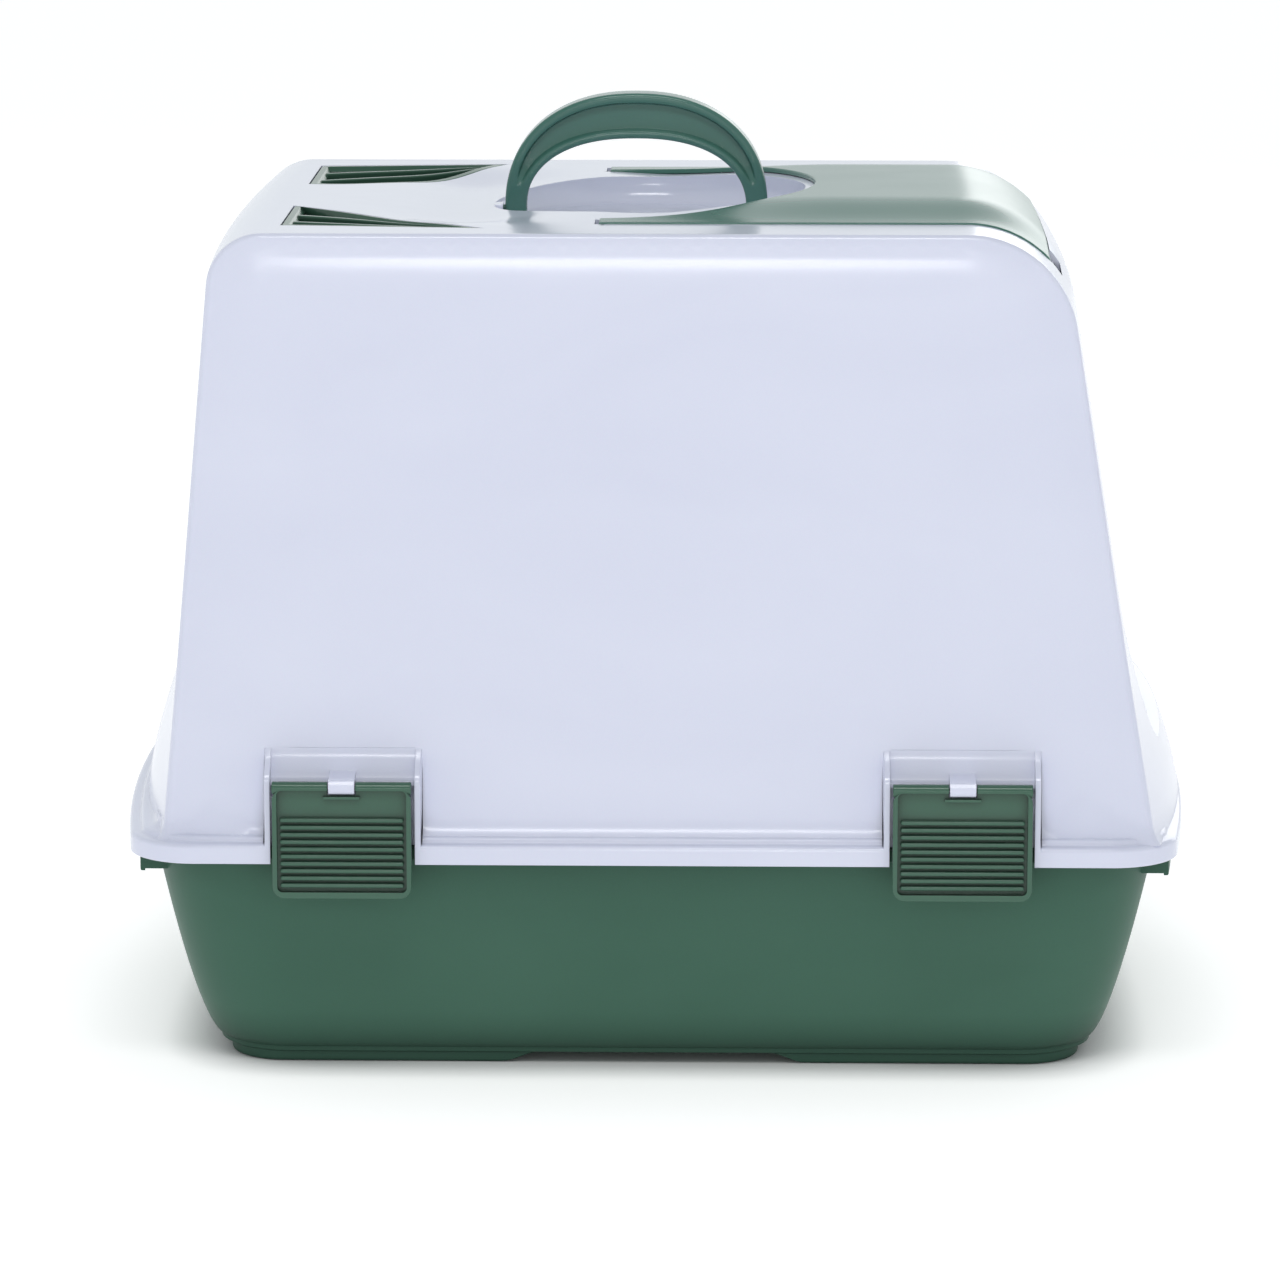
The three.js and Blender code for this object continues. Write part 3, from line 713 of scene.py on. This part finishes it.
def finish_piece(obj, body, material, replaces=(), angle=32):
    mesh = obj.data
    mesh.materials.clear()
    mesh.materials.append(material)
    mesh.shade_smooth()
    mesh.set_sharp_from_angle(angle=math.radians(angle))
    weighted = obj.modifiers.new("weighted", "WEIGHTED_NORMAL")
    weighted.mode = "FACE_AREA"
    weighted.keep_sharp = True
    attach(obj, body)
    if replaces:
        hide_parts(*replaces)
    return obj


# ---- hood ----

# The flange, its step and the fillet up to the wall: height, inset from the rim's outline.
FLANGE = [(114.5, 0.9), (114.62, 0.45), (114.9, 0.12), (115.4, 0), (122.4, 0), (123.2, 0.2), (123.9, 0.7),
          (124.3, 1.4), (124.5, 2.4), (124.65, 3.8), (124.8, 4.7), (125.1, 5.1), (125.6, 5.35),
          (126.3, 5.6), (126.9, 6.0), (127.25, 6.7), (127.45, 7.8), (127.6, 9.2), (127.9, 10.3),
          (128.6, 11.2), (129.6, 11.9), (131, 12.4), (133, 12.8)]

# The fins beside a clip, where they narrow into the wall: heights and half widths.
BAY_TOP = 171.5
FIN_HEIGHTS = [156, 157.6, 158.8, 160, 161.4, 163, 164.8, 166.8, 169, BAY_TOP]
FIN = [196, 195.8, 195.2, 194.2, 192.8, 191, 189, 187.2, 185.6, 183.4]
FIN_OUTSIDE = 38.6      # from the middle of the clip
FIN_BLEND = 0.8         # over which a fin's outer face runs into the wall


def buried(z):
    """Half width just inside the wall and the flange at height z."""
    heights = [level for level, _ in FLANGE]
    insets = [inset for _, inset in FLANGE]
    flange = np.where(z < 133, RIM_HALF_WIDTH - np.interp(z, heights, insets), 0)
    wall = half_width_at(z) + PANEL_CROWN + PANEL_FIELD + foot_flare(z, FOOT_FLARE)
    return np.maximum(flange, wall) - 0.3


def clip_bay(x, sign):
    """A block behind a clip, whose sides are left as fins that fade into the wall above."""
    z = np.array([114.8, 115.6, *np.arange(118, 140, 1.5), 143, 147, 151, 154] + FIN_HEIGHTS)
    fin = np.array([195.2] + [RIM_HALF_WIDTH] * (len(z) - len(FIN) - 1) + FIN)
    reach = [39.4, 39.2, 39.0, 38.8, FIN_OUTSIDE, BAY_HALF_WIDTH, 20.0]
    rings = []
    for dx in [-r for r in reach] + reach[::-1]:
        width = lerp(buried(z), fin, 1 - smoothstep(abs(dx), FIN_OUTSIDE, FIN_OUTSIDE + FIN_BLEND))
        section = [(178, 114.8), *zip(width, z), (178, BAY_TOP)]
        rings.append([(x + dx, sign * w, h) for w, h in section])
    return stack("tool", rings)


def bay_cutter(x, sign):
    """The room for a clip: its back swells gently outward towards the clip's hinge."""
    z = np.linspace(153.5, BAY_TOP, 19)
    wall = half_width_at(z) + PANEL_CROWN + 0.01
    swell = wall + 5 * np.clip((BAY_TOP - z) / 15.5, 0, 1) ** 2
    outline = [(215, 100), (185.4, 100), (185.4, 153), *zip(swell, z), (215, BAY_TOP + 0.1)]
    return along_x([(sign * w, h) for w, h in outline], x - BAY_HALF_WIDTH, x + BAY_HALF_WIDTH)


def clip_lug(x, sign):
    """The eye on the hood that holds a clip's pin, with a web to the wall and a mouth to snap it in."""
    y = sign * CLIP_AXIS_Y
    eye = rod(3, 13, "x", x, y, CLIP_AXIS_Z, rounding=0.4)
    web = [(y + sign * 2.95, 0), (y + sign * 2.95, 2.2), (y + sign * 1.6, 3.9), (sign * 188.5, 5.8),
           (sign * 183.5, 8), (sign * 182, 4), (y - sign * 3.5, 0.6)]
    web = along_x([(w, CLIP_AXIS_Z + rise) for w, rise in web], x - 6.5, x + 6.5)
    hole = rod(1.55, 20, "x", x, y, CLIP_AXIS_Z)
    mouth = box(x - 8, x + 8, *sorted((y, y - sign * 8)), CLIP_AXIS_Z - 1, CLIP_AXIS_Z + 1)
    return cut(join(eye, web), hole, mouth)


def dish(radius, floor, top):
    wall = [(-9, 0), (-7, 0.3), (-4.6, 1.3), (-2.6, 3), (-1.2, 5.4), (-0.4, 8), (0, 10.5), (0, top - floor)]
    return stack("tool", [[(x, y, floor + rise) for x, y in circle(DISH_X, 0, radius + wider)]
                          for wider, rise in wall])


def under_flange():
    return stack("tool", [rim_ring(z, SKIRT_WALL) for z in (100, PLATE_UNDERSIDE)])


def hollow_of_hood():
    return filled_hood("tool", -HOOD_WALL, BELOW, HOOD_WALL)


def below_skin(solid):
    """The part of a solid that lies under the hood's top skin."""
    return meet(solid, filled_hood("tool", -0.02, BELOW, 0))


def flap_pocket():
    """The sunk seat of the top flap, open above."""
    outline = flap_outline(-FIT_GAP)
    return plate("tool", [(outline, skin_at(RABBET)), (outline, level_at(ABOVE))])


def ring_pocket():
    """Lowers the ring between the dish and the flap, more and more towards the front."""
    outline = circle(FLAP_AXIS_X, 0, FLAP_CUTOUT, 160)

    def lowered(x, y):
        return top_height(x, y, 0.15 + (RABBET - 0.15) * smoothstep(x, -40, 10))

    return plate("tool", [(outline, lowered), (outline, level_at(ABOVE))], 5.0)


def hood_shell():
    body = filled_hood("hood_moulding", 0, 124, panel=PANEL_CROWN, flare=FOOT_FLARE)
    flange = stack("tool", [rim_ring(z, inset) for z, inset in FLANGE])
    body = cut(join(body, flange), hollow_of_hood(), under_flange())

    # The doorway: a thick surround, sunk into the end wall, with the door's pin holes.
    surround = along_x(rounded_outline(120.5, 157.5, 374, 24), 210.5, 300)
    body = join(body, meet(surround, filled_hood("tool", 0, 124)))
    body = cut(body, along_x(rounded_outline(118, 160, 371.5, 22), 213, 300),
               along_x(rounded_outline(DOORWAY_HALF_WIDTH, 172, 358, 12), 200, 220))
    for sign in (-1, 1):
        ys = sorted((sign * DOORWAY_HALF_WIDTH, sign * 111))
        body = join(body, box(206.5, 213, *ys, DOOR_PIVOT_Z - 6, DOOR_PIVOT_Z + 6))
        body = cut(body, rod(2.4, 7, "y", DOOR_PIN_X, sign * (DOORWAY_HALF_WIDTH + 1.5), DOOR_PIVOT_Z))

    # The ledge under the top flap, its sunk seat and the hatch.
    rear, front = FLAP_REAR - 3, FLAP_FRONT + 3
    ledge = spaced([(rear, -127), (front, -127), (front, 127), (rear, 127)], 6)
    body = join(body, plate("tool", [(ledge, skin_at(-4.3)), (ledge, skin_at(-0.6))]))
    for sign in (-1, 1):
        body = join(body, box(-33, -19, *sorted((sign * 104, sign * 130)), 416, 424.9))
    body = cut(body, flap_pocket(), ring_pocket())
    hatch = prism([(55, -114), (186, -114), (186, 114), (55, 114)], 380, 450)
    hatch = cut(hatch, prism(circle(FLAP_AXIS_X, 0, FLAP_CUTOUT + 10), 370, 460))
    body = cut(body, hatch)
    for sign in (-1, 1):
        side = sign * (FLAP_HALF_WIDTH + FIT_GAP)
        pocket = box(FLAP_REAR - FIT_GAP - 1.5, -22, *sorted((sign * 106, side)), 419.4, 440)
        socket = rod(1.8, 4.6, "y", FLAP_AXIS_X, sign * (FLAP_HALF_WIDTH + 2.2), FLAP_AXIS_Z)
        notch = box(194, 203, *sorted((sign * 96, sign * 121)), 395, 430)
        body = cut(body, pocket, socket, notch)

    # The dish, and the two lugs that hold the handle's pins.
    bowl = below_skin(dish(DISH_RADIUS + 2.5, DISH_FLOOR - 2.5, 460))
    body = join(body, cut(bowl, flap_pocket(), ring_pocket()))
    body = cut(body, dish(DISH_RADIUS, DISH_FLOOR, ABOVE))
    lug = arc(0, 417.6, 6.4, 0, PI, 25) + [(-6.4, DISH_FLOOR - 1), (6.4, DISH_FLOOR - 1)]
    rear_lug = below_skin(along_x(lug, -89, -81))
    body = cut(join(body, rear_lug), rod(1.6, 6, "x", -83.2, 0, HANDLE_PIVOT_Z))
    body = cut(join(body, along_x(lug, 57.1, 63)), rod(2.6, 5, "x", 59, 0, HANDLE_PIVOT_Z))

    for sign in (-1, 1):
        body = cut(body, prism(leaf_outline(sign, 0), 380, 450))
        for x in (-CLIP_X, CLIP_X):
            block = cut(clip_bay(x, sign), hollow_of_hood(), under_flange())
            body = cut(join(body, block), bay_cutter(x, sign))
            body = join(body, clip_lug(x, sign))
    return body


finish_piece(hood_shell(), "hood", WHITE, ["hood_shell"])

# ---- top flap ----


def top_flap():
    body = rounded_plate("flap_panel", flap_outline, -1.6, 0.8, 0.9, grid=5.0, steps=5)
    for sign in (-1, 1):
        middle, length = sign * (FLAP_CUTOUT + FLAP_HALF_WIDTH) / 2, FLAP_HALF_WIDTH - FLAP_CUTOUT - 0.4
        knuckle = rod(2.4, length, "y", FLAP_AXIS_X, middle, FLAP_AXIS_Z, rounding=0.5)
        pin = rod(1.4, 6, "y", FLAP_AXIS_X, sign * (FLAP_HALF_WIDTH + 0.8), FLAP_AXIS_Z, rounding=0.3)
        body = join(body, knuckle, pin)
    return body


finish_piece(top_flap(), "flap", GLOSSY_GREEN, ["top_flap"])

# ---- carry handle ----

# The arch's two edges: half length, height and the power of their superellipse.
HANDLE_OUTER = (68.1, 60.0, 2.25)
HANDLE_INNER = (56.9, 36.6, 2.3)
FOOT_DEPTH = 5.6        # half the handle's depth at its feet
HANDLE_SWELL = 3.4      # how much deeper it is over its arch
BEADS = (5.2, 4.6)      # widths of the outer and the inner bead


def arch_point(half_length, height, power, t):
    c, s = math.cos(PI * t), math.sin(PI * t)
    return np.array([HANDLE_X + half_length * math.copysign(abs(c) ** (2 / power), c),
                     HANDLE_PIVOT_Z + height * abs(s) ** (2 / power)])


def handle_section(outer, inner, half, recess):
    """Cross-section from the inner to the outer edge, `half` deep to each side: two rounded beads,
    joined by a web that is thinner by `recess`."""
    length = float(np.linalg.norm(outer - inner))
    web, slope, shoulder = half - recess, half - recess * 0.55, half - min(0.5, recess * 0.2)
    top, low = BEADS
    r = min(2.0, half * 0.45, length * 0.2)
    side = [(0.0, half - r)]
    side += [(r * (1 - math.cos(a)), half - r * (1 - math.sin(a))) for a in np.linspace(0, PI / 2, 5)[1:]]
    side += [(low - 1.2, half), (low - 0.5, shoulder), (low, slope), (low + 0.5, web)]
    side += [(length - top - 0.5, web), (length - top, slope), (length - top + 0.5, shoulder),
             (length - top + 1.3, half)]
    side += [(length - r * (1 - math.cos(a)), half - r * (1 - math.sin(a)))
             for a in np.linspace(PI / 2, 0, 5)]
    loop = side + [(u, -v) for u, v in reversed(side)]
    direction = (outer - inner) / length
    return [(inner[0] + direction[0] * u, v, inner[1] + direction[1] * u) for u, v in loop]


def handle_foot(end):
    """Sections that close one end of the handle with a round foot below its pivot."""
    outer, inner = arch_point(*HANDLE_OUTER, end), arch_point(*HANDLE_INNER, end)
    sections = []
    for drop in (FOOT_DEPTH, 5.3, 4.6, 3.4, 1.8, 0.0):
        down = np.array([0, -drop])
        half = math.sqrt(max(FOOT_DEPTH ** 2 - drop ** 2, 0.25))
        sections.append(handle_section(outer + down, inner + down, half, 0.0))
    return sections


def carry_handle():
    rings = handle_foot(0.0)
    for t in np.linspace(0, 1, 121)[1:-1]:
        # Spread the sections evenly along the arch.
        u = 0.5 - 0.5 * math.copysign(abs(math.cos(PI * t)) ** 0.9, math.cos(PI * t))
        outer, inner = arch_point(*HANDLE_OUTER, u), arch_point(*HANDLE_INNER, u)
        rise = float(np.clip((outer[1] - HANDLE_PIVOT_Z) / 26, 0, 1))
        recess = 4.0 * float(smoothstep((outer[1] + inner[1]) / 2, 430, 443))
        rings.append(handle_section(outer, inner, FOOT_DEPTH + HANDLE_SWELL * rise, recess))
    rings += handle_foot(1.0)[::-1]
    body = stack("handle_grip", rings)
    for x, radius in ((HANDLE_X - HANDLE_OUTER[0], 1.4), (HANDLE_X + HANDLE_OUTER[0], 2.2)):
        body = join(body, rod(radius, 8, "x", x, 0, HANDLE_PIVOT_Z, rounding=0.3))
    return body


finish_piece(carry_handle(), "handle", GLOSSY_GREEN, ["carry_handle"], angle=40)

# ---- clips ----

RIBS = 10
RIB_PITCH = 3.68
TOP_RIB_Z = 138.2


def clip(name, x, sign):
    half, low = 34.5, 98.5
    outer = -(CLIP_AXIS_Y + 3.3)
    rounding = 0.7
    rings = []
    for a in np.linspace(PI / 2, 0, 5):
        inset = rounding * (1 - math.cos(a))
        outline = rounded_outline(half - inset, low + inset, CLIP_AXIS_Z, 6 - inset)
        rings.append([(px, outer + rounding * (1 - math.sin(a)), pz) for px, pz in outline])
    back = rounded_outline(half, low, CLIP_AXIS_Z, 6)
    rings.append([(px, outer + 4.0, pz) for px, pz in back])
    body = stack(name, rings)
    body = cut(body, box(-half - 5, half + 5, -220, -180, CLIP_AXIS_Z, 190))
    body = join(body, rod(3.3, 69, "x", 0, -CLIP_AXIS_Y, CLIP_AXIS_Z, sides=40, rounding=0.6))
    window = rounded_outline(half - 2.4, low + 3.2, CLIP_AXIS_Z - 0.6, 2.6)
    body = cut(body, along_y(window, -220, outer + 2.9))
    for k in range(RIBS):
        z = TOP_RIB_Z - RIB_PITCH * k
        nose = rod(1.15, 2 * half - 7.6, "x", 0, outer + 1.2, z, sides=20, rounding=1.0)
        web = box(-half + 4.4, half - 4.4, outer + 1.2, outer + 3.4, z - 1.05, z + 0.85)
        body = join(body, nose, web)
    body = join(body, box(-9, 9, outer + 0.9, outer + 3.4, CLIP_AXIS_Z - 5.2, CLIP_AXIS_Z - 3.9))
    body = cut(body, box(-7, 7, -210, -190, CLIP_AXIS_Z - 3.5, 170))
    body = join(body, rod(1.2, 16, "x", 0, -CLIP_AXIS_Y, CLIP_AXIS_Z, sides=20))
    body = join(body, box(-25, 25, outer + 3, -192, 108.5, 112.5))
    if sign > 0:
        turned_about_z(body)
    body.data.transform(Matrix.Translation((x * MM, 0, 0)))
    return body


for side, sign in (("near", -1), ("far", 1)):
    for place, x in (("rear", -CLIP_X), ("front", CLIP_X)):
        node = f"clip_{side}_{place}"
        short = f"clip_{side[0]}{place[0]}"
        finish_piece(clip(f"latch_{side}_{place}", x, sign), short, GREEN, [node])

# ---- vents ----


SLATS = {1: (66, 100), -1: (80, 108)}    # where each side's slats start across the rear
SLAT_WIDTH = 4.4
VENT_BACK = -5                           # the back of a vent, from the top skin


def vent(name, sign):
    def leaf(grow, low, high):
        outline = leaf_outline(sign, grow)
        return plate("tool", [(outline, low), (outline, high)])

    insert = rounded_plate(name, lambda inset: leaf_outline(sign, -0.5 - inset), VENT_BACK, -0.1, 0.8)
    body = join(insert, leaf(3, skin_at(VENT_BACK), skin_at(-2.9)))
    hole = meet(prism(leaf_outline(sign, -6), 380, 450),
                prism(leaf_outline(sign, -6, LEAF_INSIDE), 370, 460))
    body = cut(body, leaf(-6, skin_at(-4), level_at(450)), hole)
    # The frame's inner edge is chamfered.
    chamfer = [(leaf_outline(sign, -6.5), skin_at(-3.2)), (leaf_outline(sign, -3.2), skin_at(0.6))]
    body = cut(body, plate("tool", chamfer))
    for start in SLATS[sign]:
        slat = rounded_plate("tool", lambda inset: slat_outline(sign, start, SLAT_WIDTH - 2 * inset),
                             VENT_BACK, -0.8, 0.9, grid=3.0, steps=3)
        body = join(body, meet(slat, prism(leaf_outline(sign, -5), 380, 450)))
    return body


for side, sign in (("near", -1), ("far", 1)):
    finish_piece(vent(f"vent_louvre_{side}", sign), "hood", GREEN, [f"vent_grille_{side}"])

# ---- entrance door ----


def entrance_door():
    rounding, thickness = 0.8, 3
    back = DOOR_PIN_X - thickness / 2
    top = DOOR_PIVOT_Z + 3.5
    rings = []
    for a in np.linspace(PI / 2, 0, 5):
        inset = rounding * (1 - math.cos(a))
        outline = rounded_outline(101.5 - inset, 175 + inset, top - inset, 9 - inset, 12)
        rings.append([(back + rounding * (1 - math.sin(a)), y, z) for y, z in outline])
    front = [[(2 * back + thickness - x, y, z) for x, y, z in ring] for ring in reversed(rings)]
    leaf = stack("door_leaf", rings + front)
    # A field pressed into each face leaves a raised border.
    for x0, x1 in ((back - 1, back + 0.7), (back + 2.3, back + 4)):
        leaf = cut(leaf, along_x(rounded_outline(88, 196, 338, 7), x0, x1))
    leaf = join(leaf, along_x(rounded_outline(30, 183, 188, 2.3), back - 3, back + 6))
    for sign in (-1, 1):
        leaf = join(leaf, rod(1.9, 12, "y", DOOR_PIN_X, sign * 100.5, DOOR_PIVOT_Z, rounding=0.4))
    return leaf


finish_piece(entrance_door(), "door", SMOKED, ["entrance_door"])

# ---- tray ----


TRAY_WALL = 2.6
TRAY_FLOOR = 9
# Heights of the wall's rings, closer together where it curves.
WALL_HEIGHTS = [16, 20, 25, 31, 38, 46, 55, 65, 76, 88, 100, 110, 119.6]


def tray_ring(z, inset):
    rise = max(z - 8, 0) / 104
    return bowed_ring(z, 220.5 + 27 * rise ** 0.65 - inset, 148 + 32 * rise ** 0.65 - inset,
                      36 + 10 * rise - inset, 6 + 6 * rise)


def foot_ring(z, inset):
    return bowed_ring(z, 215 - inset, 146.5 - inset, 27 - inset, 6)


def lip_band(bottom, rounding=0.6):
    levels = [(bottom, 4.5 + rounding), (bottom + 0.2, 4.7), (bottom + rounding, 4.5), (120.9, 4.5)]
    outer = stack("tool", [rim_ring(z, inset) for z, inset in levels])
    return cut(outer, stack("tool", [rim_ring(z, 6.7) for z in (bottom - 5, 130)]))


def litter_tray():
    foot = [(0, 1.2), (0.3, 0.5), (1, 0.1), (1.8, 0), (4.4, 0), (5, 0.1)]
    heights = [5.8, 6.6, 8, 9.4, 11, 13] + WALL_HEIGHTS
    body = stack("tray_moulding", [foot_ring(z, inset) for z, inset in foot]
                 + [tray_ring(z, 0) for z in heights])
    rim = [(119.5, 4.5), (121.2, 4.5), (121.7, 4.8), (121.9, 5.5)]
    body = join(body, stack("tool", [rim_ring(z, inset) for z, inset in rim]), lip_band(116))
    for sign in (-1, 1):
        side = box(*sorted((sign * 200, sign * 300)), -150, 150, 90, 125)
        body = join(body, meet(lip_band(100), side))
        for end in (-1, 1):
            xs, ys = sorted((sign * 240, sign * 258.2)), sorted((end * 147.5, end * 150))
            body = join(body, box(*xs, *ys, 101, 121))
    inner = [TRAY_FLOOR, 9.3, 10, 11, 12.2, 13.4] + WALL_HEIGHTS + [126]
    cavity = [tray_ring(z, TRAY_WALL + 10 * max(0.0, 1 - (z - TRAY_FLOOR) / 4.4) ** 2) for z in inner]
    body = cut(body, stack("tool", cavity))
    body = cut(body, stack("tool", [foot_ring(z, 8) for z in (-2, 5.5)]))
    arch = [(-77, -2), (-77, 0), (-75, 0.25), (-72, 1.2), (-64, 4.2), (-61, 5.05), (-58, 5.2),
            (58, 5.2), (61, 5.05), (64, 4.2), (72, 1.2), (75, 0.25), (77, 0), (77, -2)]
    for sign in (-1, 1):
        body = cut(body, along_y(arch, *sorted((sign * 120, sign * 170))))
    return body


finish_piece(litter_tray(), "tray", TRAY_GREEN, ["litter_tray"])

# ---- CAD nodes that stay ----

for node, material in (("filter_pad_near", CARBON), ("filter_pad_far", CARBON),
                       ("filter_cover_near", WHITE), ("filter_cover_far", WHITE)):
    mesh = nodes[node].data
    mesh.materials.clear()
    mesh.materials.append(material)

# ---- floor, light and camera ----

FRONT_SKY = 0.55       # brightness towards -Y, where the front reflects it
BACK_SKY = 1.0
ZENITH_SHARE = 0.58    # how much of that is left overhead
FLOOR_GLOW = 0.5       # the white sweep's own light, away from the box
FLOOR_REACH = 9000
FLOOR_Z = -0.3

corners = [(-1, -1), (1, -1), (1, 1), (-1, 1)]
floor = make("studio_floor", [(x * FLOOR_REACH, y * FLOOR_REACH, FLOOR_Z) for x, y in corners],
             [(0, 1, 2, 3)])
paper = bpy.data.materials.new("paper")
paper.use_nodes = True
paper_shader = paper.node_tree.nodes["Principled BSDF"]
paper_shader.inputs["Base Color"].default_value = (0.86, 0.86, 0.86, 1)
paper_shader.inputs["Roughness"].default_value = 0.9
paper_shader.inputs["Specular IOR Level"].default_value = 0.1
paper_shader.inputs["Emission Color"].default_value = (1, 1, 1, 1)
# Painted shadow: ambient occlusion dims the floor's glow close to the box, a painted contact shadow under
# and beside it.
painted_contact_shadow = paper.node_tree.nodes.new("ShaderNodeAmbientOcclusion")
painted_contact_shadow.samples = 8
painted_contact_shadow.inputs["Distance"].default_value = 0.035
lift = paper.node_tree.nodes.new("ShaderNodeMapRange")
lift.inputs["From Min"].default_value = 0.35
lift.inputs["From Max"].default_value = 0.9
lift.inputs["To Max"].default_value = FLOOR_GLOW
paper.node_tree.links.new(painted_contact_shadow.outputs["AO"], lift.inputs["Value"])
paper.node_tree.links.new(lift.outputs["Result"], paper_shader.inputs["Emission Strength"])
floor.data.materials.append(paper)

world = bpy.data.worlds.new("studio")
bpy.context.scene.world = world
world.use_nodes = True
sky = world.node_tree
direction = sky.nodes.new("ShaderNodeTexCoord")
parts = sky.nodes.new("ShaderNodeSeparateXYZ")
sky.links.new(direction.outputs["Generated"], parts.inputs["Vector"])
behind = sky.nodes.new("ShaderNodeMapRange")
behind.inputs["From Min"].default_value = -0.5
behind.inputs["From Max"].default_value = 0.6
behind.inputs["To Min"].default_value = FRONT_SKY
behind.inputs["To Max"].default_value = BACK_SKY
sky.links.new(parts.outputs["Y"], behind.inputs["Value"])
above = sky.nodes.new("ShaderNodeMapRange")
above.inputs["From Min"].default_value = 0.4
above.inputs["From Max"].default_value = 0.9
above.inputs["To Min"].default_value = 1.0
above.inputs["To Max"].default_value = ZENITH_SHARE
sky.links.new(parts.outputs["Z"], above.inputs["Value"])
glow = sky.nodes.new("ShaderNodeMath")
glow.operation = "MULTIPLY"
sky.links.new(behind.outputs["Result"], glow.inputs[0])
sky.links.new(above.outputs["Result"], glow.inputs[1])
backdrop = sky.nodes["Background"]
backdrop.inputs["Color"].default_value = (0.95, 0.99, 1.0, 1)
sky.links.new(glow.outputs["Value"], backdrop.inputs["Strength"])


def softbox(name, place, target, width, height, power):
    data = bpy.data.lights.new(name, "AREA")
    data.shape = "RECTANGLE"
    data.size, data.size_y = width, height
    data.energy = power
    obj = bpy.data.objects.new(name, data)
    bpy.context.scene.collection.objects.link(obj)
    obj.location = place
    aim = Vector(target) - Vector(place)
    obj.rotation_euler = aim.to_track_quat("-Z", "Y").to_euler()


softbox("overhead", (0.0, -1.35, 2.1), (0, 0, 0.3), 0.9, 0.5, 12.5)
softbox("strip", (-0.085, -3.4, 0.87), (-0.01, -0.17, 0.414), 0.76, 0.2, 5.8)
softbox("back_right", (1.5, 3.4, 1.1), (0.15, 0, 0.4), 2.4, 1.0, 10)

camera_data = bpy.data.cameras.new("camera")
camera_data.sensor_width = 36
camera_data.lens = 154.1
camera_data.clip_end = 50
camera = bpy.data.objects.new("camera", camera_data)
bpy.context.scene.collection.objects.link(camera)
camera.location = (0.048, -2.836, 0.759)
camera.rotation_euler = (math.radians(78.65), 0, math.radians(1.17))
bpy.context.scene.camera = camera
bpy.context.scene.view_settings.view_transform = "Standard"
